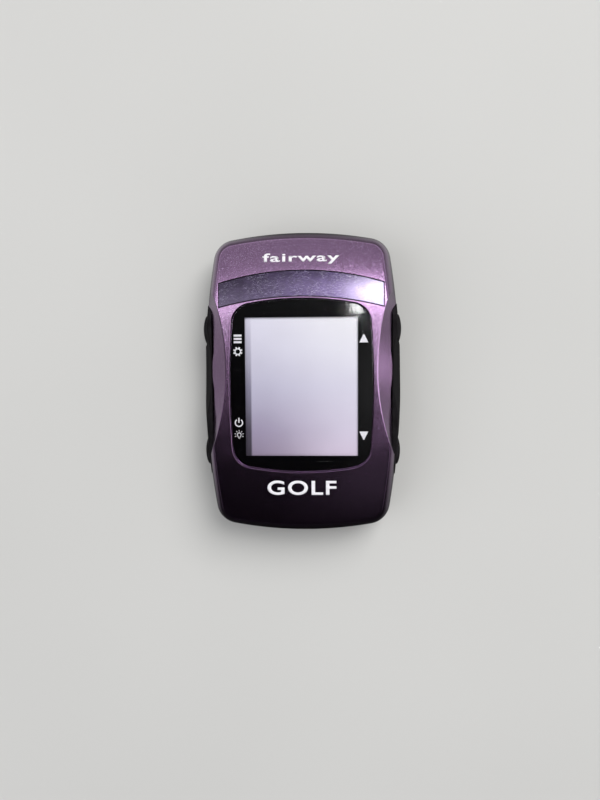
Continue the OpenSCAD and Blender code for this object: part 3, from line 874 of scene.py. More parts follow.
# ================================================================== PORT COVER
def build_port_cover():
    # a slab that follows the end of the case, with a hinge barrel and a plug
    def outer_y(x, z):
        hb = np.clip((PZ - z) / PZ, 0, 1)
        tb = 1 - np.power(np.maximum(1 - np.power(hb, BN), 0), 1 / BN)
        d = BA * tb
        return -(HL - ER + np.sqrt((ER - d) ** 2 - x * x))
    x0, x1, z0, z1 = PCX + 0.3, 6.65, PC0 + 0.1, PC1 - 0.1
    r = 0.25

    def shape(g):
        return rrect_xz(x0 + g, x1 - g, z0 + g, z1 - g, 0.35)
    loops = [shape(0.0)] + [shape(q) for q in steps(r, 4)]

    def edge(x, z):
        return rrect_inset(x, z, x1 - x0, z1 - z0, 0.35, (x0 + x1) / 2, (z0 + z1) / 2)

    def top(x, z):
        return -(outer_y(x, z) + 0.06) - fall(edge(x, z), r)

    def bot(x, z):
        return np.full_like(x, 43.5)
    grid = grid_points(x0, x1, z0, z1, 0.5, lambda x, z: edge(x, z) > 0.5)
    slab = solid("pc", loops, [], grid, lambda x, z: edge(x, z) > -1e-4, top, bot, lambda x, z, y: np.stack([x, -y, z], 1))
    barrel_ = lathe("pb", [(0.56, z0), (1.0, z0), (1.03, z0 + 0.05), (1.03, z1 - 0.05), (1.0, z1), (0.56, z1)], (PCX, PCY, 0), n=40, closed=True)
    plug = prism("pp", rrect_xz(-3.5, 3.5, PORTZ - 0.95, PORTZ + 0.95, 0.5), -43.55, -42.2, lambda a, b, c: np.stack([a, c, b], 1), flip=True)
    # finger ridge near the free end
    ridges = []
    for k in range(3):
        xx = 4.6 + k * 0.65
        y = float(outer_y(np.array([xx]), np.array([7.0]))[0])
        ridges.append(prism("pr", rrect_xz(xx - 0.14, xx + 0.14, z0 + 0.7, z1 - 0.7, 0.13), y - 0.03, y + 0.6, lambda a, b, c: np.stack([a, c, b], 1), flip=True))
    ob = join([slab, barrel_, plug] + ridges, "port_flap")
    ob.data.shade_smooth()
    ob.data.set_sharp_from_angle(angle=math.radians(35))
    return ob


flap = build_port_cover()
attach(flap, "usb_cover")
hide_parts("usb_cover")
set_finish(flap, "soft_black")


# ================================================================== PRINTED MARKS
def flat_mesh(name, polys, z, thick, to3=xy_to3):
    """Thin closed plates from plane outlines; each is (outer, [holes])."""
    obs = []
    for k, (outer, holes) in enumerate(polys):
        loops = [outer] + list(holes)

        def inside(x, y, outer=outer, holes=holes):
            ok = poly_inside(x, y, outer)
            for h in holes:
                ok &= ~poly_inside(x, y, h)
            return ok
        obs.append(solid(name + str(k), loops, [], np.zeros((0, 2)), inside,
                         lambda x, y: z(x, y) + thick if callable(z) else np.full_like(x, z + thick),
                         lambda x, y: z(x, y) if callable(z) else np.full_like(x, z), to3, merge=False, angle=20))
    return join(obs, name) if len(obs) > 1 else obs[0]


def rect(cx, cy, w, h, step=0.0):
    p = np.array([[w / 2, -h / 2], [w / 2, h / 2], [-w / 2, h / 2], [-w / 2, -h / 2]]) + [cx, cy]
    return densify(p, step) if step else p


def gear(cx, cy, ro, ri, teeth=8):
    p = []
    for i in range(teeth):
        a = 2 * math.pi * (i + 0.5) / teeth
        w = math.pi / teeth
        for da, r in ((-0.72 * w, ri), (-0.34 * w, ro), (0.34 * w, ro), (0.72 * w, ri)):
            p.append((cx + r * math.cos(a + da), cy + r * math.sin(a + da)))
    return np.array(p)


def arc_band(cx, cy, ro, ri, a0, a1, n=28):
    a = np.radians(np.linspace(a0, a1, n))
    o = np.stack([cx + ro * np.cos(a), cy + ro * np.sin(a)], 1)
    i = np.stack([cx + ri * np.cos(a[::-1]), cy + ri * np.sin(a[::-1])], 1)
    return np.concatenate([o, i])


def turned(cx, cy, r0, r1, w, deg):
    a = math.radians(deg)
    u, v = np.array([math.cos(a), math.sin(a)]), np.array([-math.sin(a), math.cos(a)])
    c = np.array([cx, cy])
    return np.array([c + u * r0 - v * w / 2, c + u * r1 - v * w / 2, c + u * r1 + v * w / 2, c + u * r0 + v * w / 2])


def bulb(cx, cy, r, w, drop):
    """A round bulb drawn in to a neck of half width w."""
    a = np.radians(np.linspace(-48, 228, 26))
    p = [(cx + r * math.cos(t), cy + 0.1 + r * math.sin(t)) for t in a]
    p += [(cx - w, cy - drop), (cx + w, cy - drop)]
    return np.array(p)


def key_symbols():
    P = []
    # menu bars
    for i in (-1, 0, 1):
        P.append((rrect(2.36, 0.6, 0.12, n=3, cx=-18.85, cy=13.35 + i * 0.98), []))
    # gear
    P.append((gear(-18.85, 9.6, 1.42, 0.98), [circle(-18.85, 9.6, 0.66, 24)]))
    # power
    P.append((arc_band(-18.75, -11.6, 1.26, 0.92, 90 + 36, 90 + 324), []))
    P.append((rect(-18.75, -10.85, 0.36, 1.5), []))
    # bulb with rays
    bx, by = -18.7, -15.3
    P.append((bulb(bx, by, 0.66, 0.34, 0.72), [bulb(bx, by, 0.46, 0.16, 0.6)]))
    P.append((rect(bx, by - 1.0, 0.44, 0.14), []))
    for a in (-24, 14, 52, 90, 128, 166, 204):
        P.append((turned(bx, by + 0.1, 0.95, 1.4, 0.17, a), []))
    # arrows
    P.append((np.array([[18.4 - 1.32, 12.05], [18.4 + 1.32, 12.05], [18.4 + 0.12, 14.5], [18.4 - 0.12, 14.5]]), []))
    P.append((np.array([[18.4 - 1.32, -14.25], [18.4 - 0.12, -16.7], [18.4 + 0.12, -16.7], [18.4 + 1.32, -14.25]]), []))
    return flat_mesh("key_symbols", P, 17.506, 0.014)


marks = key_symbols()
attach(marks, "case")
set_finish(marks, "lens_print")


def lettering(name, body, width, height, cx, cy, surf, squash=1.0, shear=0.0, gap=1.0, lift=0.004, thick=0.02, weight=0.0):
    """Plain lettering laid on the cover as a thin print that follows the surface."""
    cu = bpy.data.curves.new(name, "FONT")
    cu.body = body
    cu.align_x = "CENTER"
    cu.align_y = "CENTER"
    cu.size = 1.0
    cu.space_character = gap
    cu.shear = shear
    cu.offset = weight
    cu.resolution_u = 6
    tmp = bpy.data.objects.new(name + "_t", cu)
    scene.collection.objects.link(tmp)
    bpy.context.view_layer.update()
    me = bpy.data.meshes.new_from_object(tmp.evaluated_get(bpy.context.evaluated_depsgraph_get()))
    bpy.data.objects.remove(tmp)
    import bmesh
    bm = bmesh.new()
    bm.from_mesh(me)
    bpy.data.meshes.remove(me)
    bmesh.ops.remove_doubles(bm, verts=bm.verts, dist=1e-4)
    bmesh.ops.triangulate(bm, faces=bm.faces)
    co = np.array([v.co[:] for v in bm.verts])
    lo, hi = co.min(0), co.max(0)
    sx, sy = width / (hi[0] - lo[0]), height / (hi[1] - lo[1])
    mid = (lo + hi) / 2
    for v in bm.verts:
        x, y = (v.co.x - mid[0]) * sx + cx, (v.co.y - mid[1]) * sy + cy
        v.co = Vector((x, y, 0))
    # cut long edges so that the print follows the crowned face
    for _ in range(3):
        long = [e for e in bm.edges if e.calc_length() > 0.8]
        if not long:
            break
        bmesh.ops.subdivide_edges(bm, edges=long, cuts=1)
        bmesh.ops.triangulate(bm, faces=bm.faces)
    base = [f for f in bm.faces]
    for f in base:
        if f.normal.z < 0:
            f.normal_flip()
    ext = bmesh.ops.extrude_face_region(bm, geom=base)
    top = {v for v in ext["geom"] if isinstance(v, bmesh.types.BMVert)}
    for v in bm.verts:
        z = float(surf(np.array([v.co.x]), np.array([v.co.y]))[0]) + lift + (thick if v in top else 0)
        v.co = Vector((v.co.x * MM, v.co.y * MM, z * MM))
    bmesh.ops.recalc_face_normals(bm, faces=bm.faces)
    out = bpy.data.meshes.new(name)
    bm.to_mesh(out)
    bm.free()
    ob = bpy.data.objects.new(name, out)
    scene.collection.objects.link(ob)
    return ob


top_mark = lettering("top_print", "fairway", 22.4, 3.3, 0.0, 36.5, cover_top, gap=1.1, weight=0.02, lift=0.012, thick=0.03)
bottom_mark = lettering("bottom_print", "GOLF", 20.5, 4.4, 0.0, -30.9, cover_top, gap=1.12, weight=0.02, lift=0.012, thick=0.03)
for o in (top_mark, bottom_mark):
    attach(o, "case")
    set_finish(o, "lens_print")


# ================================================================== MATERIALS
def srgb(r, g, b):
    def f(c):
        c /= 255.0
        return c / 12.92 if c <= 0.04045 else ((c + 0.055) / 1.055) ** 2.4
    return (f(r), f(g), f(b), 1.0)


class Mat:
    def __init__(self, name):
        self.m = bpy.data.materials.new(name)
        self.m.use_nodes = True
        self.t = self.m.node_tree
        self.b = self.t.nodes["Principled BSDF"]
        self.out = self.t.nodes["Material Output"]
        self.co = self.n("ShaderNodeTexCoord").outputs["Object"]

    def n(self, kind, **kw):
        x = self.t.nodes.new(kind)
        for k, v in kw.items():
            setattr(x, k, v)
        return x

    def link(self, a, b):
        self.t.links.new(a, b)

    def put(self, sock, v):
        if hasattr(v, "is_linked"):
            self.link(v, sock)
        else:
            sock.default_value = v

    def math(self, op, a, b=None, c=None, clamp=False):
        x = self.n("ShaderNodeMath", operation=op, use_clamp=clamp)
        for i, v in enumerate((a, b, c)):
            if v is not None:
                self.put(x.inputs[i], v)
        return x.outputs[0]

    def noise(self, scale, detail=2.0, rough=0.5, vec=None, dist=0.0):
        x = self.n("ShaderNodeTexNoise")
        x.inputs["Scale"].default_value = scale
        x.inputs["Detail"].default_value = detail
        x.inputs["Roughness"].default_value = rough
        x.inputs["Distortion"].default_value = dist
        self.link(vec or self.co, x.inputs["Vector"])
        return x.outputs["Fac"]

    def voronoi(self, scale, feature="F1", vec=None, out="Distance", rand=1.0):
        x = self.n("ShaderNodeTexVoronoi", feature=feature)
        x.inputs["Scale"].default_value = scale
        x.inputs["Randomness"].default_value = rand
        self.link(vec or self.co, x.inputs["Vector"])
        return x.outputs[out]

    def ramp(self, fac, stops, interp="LINEAR"):
        x = self.n("ShaderNodeValToRGB")
        x.color_ramp.interpolation = interp
        e = x.color_ramp.elements
        while len(e) < len(stops):
            e.new(0.5)
        for i, (p, c) in enumerate(stops):
            e[i].position = p
            e[i].color = c if len(c) == 4 else (*c, 1)
        self.link(fac, x.inputs["Fac"])
        return x.outputs["Color"]

    def span(self, v, a, b, c=0.0, d=1.0, smooth=False):
        x = self.n("ShaderNodeMapRange")
        x.clamp = True
        if smooth:
            x.interpolation_type = "SMOOTHSTEP"
        for i, q in enumerate((v, a, b, c, d)):
            self.put(x.inputs[i], q)
        return x.outputs[0]

    def mix(self, fac, a, b, kind="MIX"):
        x = self.n("ShaderNodeMix", data_type="RGBA", blend_type=kind)
        x.clamp_factor = True
        self.put(x.inputs[0], fac)
        self.put(x.inputs[6], a)
        self.put(x.inputs[7], b)
        return x.outputs[2]

    def xyz(self, vec=None):
        x = self.n("ShaderNodeSeparateXYZ")
        self.link(vec or self.co, x.inputs[0])
        return x.outputs

    def mapped(self, scale=(1, 1, 1), rot=(0, 0, 0), loc=(0, 0, 0)):
        x = self.n("ShaderNodeMapping")
        x.inputs["Scale"].default_value = scale
        x.inputs["Rotation"].default_value = rot
        x.inputs["Location"].default_value = loc
        self.link(self.co, x.inputs["Vector"])
        return x.outputs[0]

    def bump(self, height, dist, strength=1.0, normal=None):
        x = self.n("ShaderNodeBump")
        x.inputs["Strength"].default_value = strength
        x.inputs["Distance"].default_value = dist
        self.link(height, x.inputs["Height"])
        if normal is not None:
            self.link(normal, x.inputs["Normal"])
        return x.outputs[0]

    def bevel(self, r=0.12, samples=4):
        x = self.n("ShaderNodeBevel")
        x.samples = samples
        x.inputs["Radius"].default_value = r * MM
        return x.outputs[0]

    def set(self, **kw):
        names = {"color": "Base Color", "rough": "Roughness", "metal": "Metallic", "coat": "Coat Weight", "coat_rough": "Coat Roughness",
                 "normal": "Normal", "spec": "Specular IOR Level", "ior": "IOR", "coat_normal": "Coat Normal", "trans": "Transmission Weight",
                 "sss": "Subsurface Weight", "sheen": "Sheen Weight", "aniso": "Anisotropic", "alpha": "Alpha",
                 "emit": "Emission Color", "emit_s": "Emission Strength", "coat_ior": "Coat IOR"}
        for k, v in kw.items():
            self.put(self.b.inputs[names[k]], v)
        return self


def paint_material():
    """Aubergine metallic lacquer: fine flake, a thin clear coat and faint rub marks."""
    M = Mat("aubergine_lacquer")
    flake = M.voronoi(9000, out="Color")
    fx = M.xyz(flake)
    cell = M.voronoi(5200, out="Color")
    cx = M.xyz(cell)
    spark = M.span(fx[0], 0.80, 1.0, 0, 1)
    spark2 = M.span(cx[1], 0.9, 1.0, 0, 1)
    cloud = M.noise(60, 3, 0.6)
    base = M.mix(M.span(cloud, 0.3, 0.7), srgb(123, 93, 127), srgb(131, 100, 135))
    base = M.mix(M.math("MULTIPLY", spark, 0.4), base, srgb(196, 168, 208))
    base = M.mix(M.math("MULTIPLY", spark2, 0.3), base, srgb(220, 200, 230))
    # flakes lie at slightly different tilts
    norm = M.n("ShaderNodeVectorMath", operation="SUBTRACT")
    M.link(flake, norm.inputs[0])
    norm.inputs[1].default_value = (0.5, 0.5, 0.5)
    sc = M.n("ShaderNodeVectorMath", operation="SCALE")
    M.link(norm.outputs[0], sc.inputs[0])
    sc.inputs["Scale"].default_value = 0.075
    add = M.n("ShaderNodeVectorMath", operation="ADD")
    M.link(sc.outputs[0], add.inputs[0])
    bev = M.bevel(0.1)
    M.link(bev, add.inputs[1])
    nn = M.n("ShaderNodeVectorMath", operation="NORMALIZE")
    M.link(add.outputs[0], nn.inputs[0])
    orange = M.noise(900, 1, 0.4)
    scr = M.noise(1.0, 3, 0.6, vec=M.mapped((700, 9000, 700), rot=(0, 0, 0.7)))
    coat_n = M.bump(orange, 0.0000016, 0.5, normal=bev)
    rough = M.span(M.noise(220, 4, 0.6), 0.3, 0.7, 0.16, 0.20)
    rough = M.math("ADD", rough, M.span(scr, 0.66, 0.78, 0, 0.04))
    M.set(color=base, metal=1.0, rough=rough, normal=nn.outputs[0], coat=0.7, coat_rough=0.1, coat_normal=coat_n)
    return M.m


def strip_material():
    """Tinted gloss strip, covered in fine rub marks that run every way, with a painted reflection: darker at the left
    end, pale at the right end.
    """
    M = Mat("tinted_gloss_strip")
    x = M.xyz()
    marks = None
    for rot, sx, sy, lo in ((1.2, 700, 13500, 0.63), (1.75, 760, 13000, 0.635), (-0.9, 720, 12500, 0.645), (0.6, 820, 14000, 0.645)):
        s = M.noise(1.0, 2, 0.55, vec=M.mapped((sx, sy, sy), rot=(0, 0, rot)))
        s = M.span(s, lo, lo + 0.07)
        marks = s if marks is None else M.math("MAXIMUM", marks, s)
    patch = M.span(M.noise(190, 3, 0.6), 0.38, 0.62)
    marks = M.math("MULTIPLY", marks, M.math("ADD", M.math("MULTIPLY", patch, 0.85), 0.15))
    blotch = M.noise(420, 4, 0.65)
    # painted reflection: a ramp from the dark left end to the bright right end; the rub marks are real wear, but they
    # are also made stronger towards the right, where they catch the painted light
    reflection_ramp = M.span(x[0], -0.024, 0.012, 0.0, 1.0, smooth=True)
    marks = M.math("MULTIPLY", marks, M.math("ADD", M.math("MULTIPLY", reflection_ramp, 0.45), 0.55))
    deep = M.mix(M.span(blotch, 0.3, 0.7), srgb(66, 54, 82), srgb(84, 70, 106))
    # painted shade: the left end is coloured darker, as a dark reflection
    deep = M.mix(reflection_ramp, M.mix(M.span(blotch, 0.3, 0.7), srgb(42, 34, 52), srgb(56, 46, 68)), deep)
    # painted highlight: the right end is coloured pale, as a bright reflected light
    deep = M.mix(M.span(x[0], 0.008, 0.0235, 0.0, 1.0, smooth=True), deep, srgb(138, 128, 152))
    col = M.mix(M.math("MULTIPLY", marks, 0.65), deep, srgb(222, 215, 238))
    bev = M.bevel(0.08)
    n = M.bump(marks, 0.000004, 0.35, normal=bev)
    rough = M.math("ADD", M.span(blotch, 0.3, 0.7, 0.13, 0.2), M.math("MULTIPLY", marks, 0.3))
    M.set(color=col, metal=0.97, rough=rough, normal=n, coat=0.3, coat_rough=0.06, coat_normal=bev)
    return M.m


def lens_material():
    """Clear hard-coated window: see-through with a mirror-like face, faint wipe marks and dust."""
    M = Mat("clear_window")
    for n in list(M.t.nodes):
        if n != M.out and n.type != "TEX_COORD":
            M.t.nodes.remove(n)
    tr = M.n("ShaderNodeBsdfTransparent")
    tr.inputs["Color"].default_value = (0.965, 0.965, 0.975, 1)
    gl = M.n("ShaderNodeBsdfGlossy")
    gl.distribution = "GGX"
    smear = M.noise(38, 3, 0.55, dist=0.6)
    M.put(gl.inputs["Roughness"], M.span(smear, 0.35, 0.7, 0.02, 0.09))
    fr = M.n("ShaderNodeFresnel")
    fr.inputs["IOR"].default_value = 1.52
    geo = M.n("ShaderNodeNewGeometry")
    front_face = M.math("SUBTRACT", 1.0, geo.outputs["Backfacing"])
    fac = M.math("MULTIPLY", fr.outputs[0], front_face)
    mx = M.n("ShaderNodeMixShader")
    M.link(fac, mx.inputs[0])
    M.link(tr.outputs[0], mx.inputs[1])
    M.link(gl.outputs[0], mx.inputs[2])
    # dust specks and lint
    spots = M.voronoi(330, out="Distance")
    pick = M.xyz(M.voronoi(330, out="Color"))
    sel = M.span(pick[0], 0.93, 0.95)
    speck = M.math("MULTIPLY", M.span(spots, 0.06, 0.1, 1, 0), sel)
    hair = M.noise(1.0, 2, 0.5, vec=M.mapped((90, 2600, 2600), rot=(0, 0, 1.0)))
    hair = M.math("MULTIPLY", M.span(hair, 0.73, 0.76), 0.14)
    dust = M.math("MULTIPLY", M.math("MAXIMUM", speck, hair), 0.5)
    df = M.n("ShaderNodeBsdfDiffuse")
    df.inputs["Color"].default_value = (0.82, 0.82, 0.84, 1)
    dust_up = M.math("MULTIPLY", dust, front_face)
    mx2 = M.n("ShaderNodeMixShader")
    M.link(dust_up, mx2.inputs[0])
    M.link(mx.outputs[0], mx2.inputs[1])
    M.link(df.outputs[0], mx2.inputs[2])
    M.link(mx2.outputs[0], M.out.inputs["Surface"])
    return M.m


def black_print():
    M = Mat("black_print")
    n = M.noise(300, 2, 0.5)
    M.set(color=M.mix(M.span(n, 0.3, 0.7), (0.0007, 0.0006, 0.0009, 1), (0.0012, 0.0011, 0.0014, 1)), rough=M.span(n, 0.3, 0.7, 0.42, 0.47), spec=0.02)
    return M.m


def white_print(name, c=(250, 249, 252)):
    M = Mat(name)
    n = M.noise(1500, 3, 0.6)
    w = M.noise(5200, 2, 0.5)
    col = M.mix(M.span(n, 0.3, 0.7), srgb(*c), srgb(*[int(v * 0.93) for v in c]))
    M.set(color=col, rough=M.span(n, 0.3, 0.7, 0.3, 0.45), normal=M.bump(w, 0.000002, 0.4))
    return M.m


def screen_material():
    """Unlit reflective colour panel: cool grey with a painted reflection, brighter at the top and on the right and
    darker towards the bottom left, a darker column on the left, faint pixel rows.
    """
    M = Mat("reflective_panel")
    x = M.xyz()
    v = M.span(x[1], -0.0215, 0.0196)
    u = M.span(x[0], -0.0167, 0.0167)
    # painted reflection: the panel colour runs from bright at the top right to dark at the bottom left
    left = M.ramp(v, [(0.0, srgb(154, 141, 162)[:3]), (0.18, srgb(168, 158, 182)[:3]), (0.5, srgb(202, 199, 218)[:3]), (0.8, srgb(226, 224, 238)[:3]), (1.0, srgb(236, 234, 246)[:3])])
    right = M.ramp(v, [(0.0, srgb(228, 214, 233)[:3]), (0.2, srgb(226, 218, 235)[:3]), (0.5, srgb(232, 229, 243)[:3]), (0.8, srgb(248, 247, 254)[:3]), (1.0, srgb(253, 252, 255)[:3])])
    col = M.mix(M.span(u, 0.05, 1.0, 0, 1, smooth=True), left, right)
    # a darker column on the left; its darkening towards the bottom is painted shade, like the rest of the panel
    band_v = M.ramp(v, [(0.0, srgb(46, 42, 50)[:3]), (0.2, srgb(66, 61, 72)[:3]), (0.5, srgb(134, 130, 150)[:3]), (0.75, srgb(186, 183, 200)[:3]), (1.0, srgb(224, 221, 236)[:3])])
    band = M.span(x[0], -0.0153, -0.0147, 1, 0, smooth=True)
    col = M.mix(M.math("MULTIPLY", band, 0.92), col, band_v)
    # pixel structure and slight mottling under the polariser
    px = M.n("ShaderNodeTexWave", wave_type="BANDS", bands_direction="X")
    px.inputs["Scale"].default_value = 3200
    M.link(M.co, px.inputs["Vector"])
    py = M.n("ShaderNodeTexWave", wave_type="BANDS", bands_direction="Y")
    py.inputs["Scale"].default_value = 1100
    M.link(M.co, py.inputs["Vector"])
    grid = M.math("MULTIPLY", px.outputs["Fac"], py.outputs["Fac"])
    mott = M.noise(120, 3, 0.55)
    k = M.math("ADD", M.span(grid, 0, 1, 0.965, 1.0), M.span(mott, 0.3, 0.7, -0.02, 0.02))
    col = M.mix(1.0, col, k, "MULTIPLY")
    M.set(color=col, rough=M.span(mott, 0.3, 0.7, 0.32, 0.42), spec=0.35)
    return M.m


def moulded(name, c0, c1, rough=(0.42, 0.55), grain=4200, depth=0.000006, spec=0.45, wear=None, bevel=0.12, cells=True, coat=0.0):
    """Fine spark-eroded moulded texture with slight colour variation and paler rubbed edges."""
    M = Mat(name)
    cloud = M.noise(90, 4, 0.6)
    fine = M.noise(grain, 3, 0.55)
    tex = M.voronoi(grain * 0.55, "SMOOTH_F1") if cells else fine
    col = M.mix(M.span(cloud, 0.3, 0.7), c0, c1)
    h = M.math("ADD", M.math("MULTIPLY", tex, 0.6), M.math("MULTIPLY", fine, 0.5))
    bev = M.bevel(bevel) if bevel else None
    r = M.math("ADD", M.span(cloud, 0.3, 0.7, rough[0], rough[1]), M.span(fine, 0.35, 0.65, -0.03, 0.03))
    if wear:
        geo = M.n("ShaderNodeNewGeometry")
        edge = M.span(geo.outputs["Pointiness"], 0.515, 0.56)
        edge = M.math("MULTIPLY", edge, M.span(M.noise(260, 4, 0.7), 0.4, 0.65))
        col = M.mix(M.math("MULTIPLY", edge, 0.5), col, wear)
        r = M.math("SUBTRACT", r, M.math("MULTIPLY", edge, 0.08))
    M.set(color=col, rough=r, normal=M.bump(h, depth, 0.8, normal=bev), spec=spec, coat=coat, coat_rough=0.2)
    return M.m


def metal(name, c, rough=(0.25, 0.4), brushed=None, dents=0.0, bevel=0.06):
    M = Mat(name)
    if brushed is not None:
        n = M.noise(1.0, 3, 0.6, vec=M.mapped(brushed))
    else:
        n = M.noise(1800, 3, 0.6)
    stain = M.noise(160, 4, 0.6)
    c2 = tuple(v * 0.8 for v in c[:3]) + (1,)
    col = M.mix(M.span(stain, 0.3, 0.75), c, c2)
    bev = M.bevel(bevel)
    M.set(color=col, metal=1.0, rough=M.span(n, 0.3, 0.7, *rough), normal=M.bump(n, 0.000003, 0.5, normal=bev))
    return M.m


def board_material():
    """Green solder mask over copper tracks, with bare pads."""
    M = Mat("solder_mask")
    br = M.n("ShaderNodeTexBrick")
    br.inputs["Scale"].default_value = 420
    br.inputs["Mortar Size"].default_value = 0.06
    M.link(M.mapped((1, 1, 1)), br.inputs["Vector"])
    tracks = M.voronoi(520, "DISTANCE_TO_EDGE", rand=0.35)
    t = M.span(tracks, 0.02, 0.06, 1, 0)
    col = M.mix(t, srgb(10, 62, 38), srgb(22, 96, 58))
    pads = M.span(M.voronoi(900, rand=0.2), 0.16, 0.19, 1, 0)
    pick = M.span(M.xyz(M.voronoi(900, out="Color", rand=0.2))[0], 0.86, 0.88)
    pad = M.math("MULTIPLY", pads, pick)
    col = M.mix(pad, col, srgb(210, 190, 130))
    M.set(color=col, metal=M.math("MULTIPLY", pad, 0.9), rough=M.span(M.noise(800, 2), 0.3, 0.7, 0.28, 0.38), normal=M.bump(M.math("ADD", t, pad), 0.00001, 0.6))
    return M.m


def foam_material():
    M = Mat("closed_cell_foam")
    v = M.voronoi(3600, "SMOOTH_F1")
    n = M.noise(300, 3)
    M.set(color=M.mix(M.span(n, 0.3, 0.7), srgb(34, 34, 35), srgb(48, 48, 49)), rough=0.9, normal=M.bump(v, 0.00003, 0.8), spec=0.2)
    return M.m


def foil_material():
    M = Mat("foil_pouch")
    n = M.noise(240, 5, 0.6, dist=0.4)
    x = M.xyz()
    seam = M.span(M.math("ABSOLUTE", x[0]), 0.0158, 0.0166)
    col = M.mix(seam, srgb(184, 186, 192), srgb(150, 152, 158))
    M.set(color=col, metal=0.9, rough=M.span(n, 0.3, 0.7, 0.3, 0.45), normal=M.bump(n, 0.00008, 0.5))
    return M.m


def label_material():
    """Plain rating plate: satin film with a rule border, no lettering."""
    M = Mat("rating_film")
    x = M.xyz()
    ax = M.math("ABSOLUTE", x[0])
    ay = M.math("ABSOLUTE", M.math("ADD", x[1], 0.008))
    bx = M.math("MULTIPLY", M.span(ax, 0.01375, 0.0138), M.span(ax, 0.01395, 0.0140, 1, 0))
    by = M.math("MULTIPLY", M.span(ay, 0.00775, 0.0078), M.span(ay, 0.00795, 0.0080, 1, 0))
    bx = M.math("MULTIPLY", bx, M.span(ay, 0.0079, 0.008, 1, 0))
    by = M.math("MULTIPLY", by, M.span(ax, 0.0139, 0.014, 1, 0))
    rule = M.math("MAXIMUM", bx, by)
    n = M.noise(1800, 2)
    sc = M.noise(1.0, 2, 0.5, vec=M.mapped((200, 5200, 5200), rot=(0, 0, 0.5)))
    col = M.mix(M.span(n, 0.3, 0.7), srgb(34, 34, 36), srgb(42, 42, 44))
    col = M.mix(M.math("MULTIPLY", rule, 0.8), col, srgb(150, 150, 152))
    M.set(color=col, rough=M.math("ADD", M.span(sc, 0.6, 0.75, 0.34, 0.5), M.span(n, 0.3, 0.7, -0.03, 0.03)), normal=M.bump(n, 0.000003, 0.5, normal=M.bevel(0.05)))
    return M.m


mats = {
    "cover_paint": paint_material(),
    "brow_gloss": strip_material(),
    "lens_acrylic": lens_material(),
    "lens_print": black_print(),
    "lcd_glass": screen_material(),
    "adhesive_tape": moulded("tape_film", srgb(30, 30, 31), srgb(40, 40, 41), grain=2600, bevel=0),
    "foam": foam_material(),
    "light_guide": moulded("milky_guide", srgb(236, 236, 230), srgb(226, 226, 220), rough=(0.3, 0.4), grain=1500, bevel=0),
    "steel_sheet": metal("tinned_steel", srgb(196, 197, 200), brushed=(250, 4200, 4200)),
    "flex_film": moulded("amber_film", srgb(196, 128, 40), srgb(176, 108, 30), rough=(0.28, 0.36), grain=2000, bevel=0),
    "connector_body": moulded("nylon_cream", srgb(226, 222, 206), srgb(214, 208, 190), grain=3000, bevel=0.05),
    "board_laminate": board_material(),
    "chip_resin": moulded("mould_compound", srgb(30, 30, 32), srgb(38, 38, 40), rough=(0.5, 0.62), grain=5200, bevel=0.04),
    "component_body": moulded("part_ceramic", srgb(150, 122, 88), srgb(116, 96, 72), grain=3000, bevel=0.03),
    "antenna_ceramic": moulded("fired_ceramic", srgb(214, 198, 164), srgb(198, 182, 150), rough=(0.6, 0.75), grain=3600, bevel=0.06),
    "silver_patch": metal("silver_ink", srgb(212, 212, 208), rough=(0.35, 0.5)),
    "brass_plain": metal("turned_brass", srgb(206, 166, 88), rough=(0.22, 0.36), brushed=(900, 900, 9000)),
    "soft_black": moulded("soft_elastomer", srgb(26, 25, 27), srgb(33, 32, 34), rough=(0.6, 0.72), grain=5200, depth=0.000005, wear=srgb(70, 68, 70)),
    "steel_pin": metal("drawn_steel", srgb(186, 187, 190), rough=(0.2, 0.3), brushed=(5200, 5200, 300)),
    "rail_plastic": moulded("grip_plastic", srgb(15, 13, 15), srgb(21, 19, 21), rough=(0.44, 0.54), grain=4800, depth=0.000006, spec=0.06, wear=srgb(46, 43, 47)),
    "button_plastic": moulded("key_plastic", srgb(19, 17, 19), srgb(25, 23, 25), rough=(0.36, 0.46), grain=5600, depth=0.000004, spec=0.1, wear=srgb(56, 53, 58)),
    "switch_shell": metal("switch_steel", srgb(200, 200, 203), rough=(0.25, 0.35)),
    "battery_foil": foil_material(),
    "lead_sleeve": moulded("red_sleeve", srgb(168, 22, 20), srgb(146, 16, 16), rough=(0.35, 0.45), grain=2400, bevel=0),
    "rear_plastic": moulded("case_plastic", srgb(27, 26, 28), srgb(34, 33, 35), rough=(0.5, 0.6), grain=3600, depth=0.00001, wear=srgb(76, 74, 78), bevel=0.14),
    "label_film": label_material(),
    "screw_steel": metal("black_screw", srgb(96, 96, 98), rough=(0.28, 0.42)),
}
symbol_white = white_print("symbol_white")
legend_white = white_print("legend_white", (246, 244, 250))

record = frame["record"]
node_slot = {s["node"]: s["material_slot"] for s in record["subparts"]}
for node, ob in frame["nodes"].items():
    ob.data.materials.clear()
    ob.data.materials.append(mats[node_slot[node]])
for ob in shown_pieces():
    if "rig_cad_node" in ob:
        continue
    ob.data.materials.clear()
    if ob is marks:
        ob.data.materials.append(symbol_white)
    elif ob in (top_mark, bottom_mark):
        ob.data.materials.append(legend_white)
    else:
        ob.data.materials.append(mats[ob["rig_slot"]])


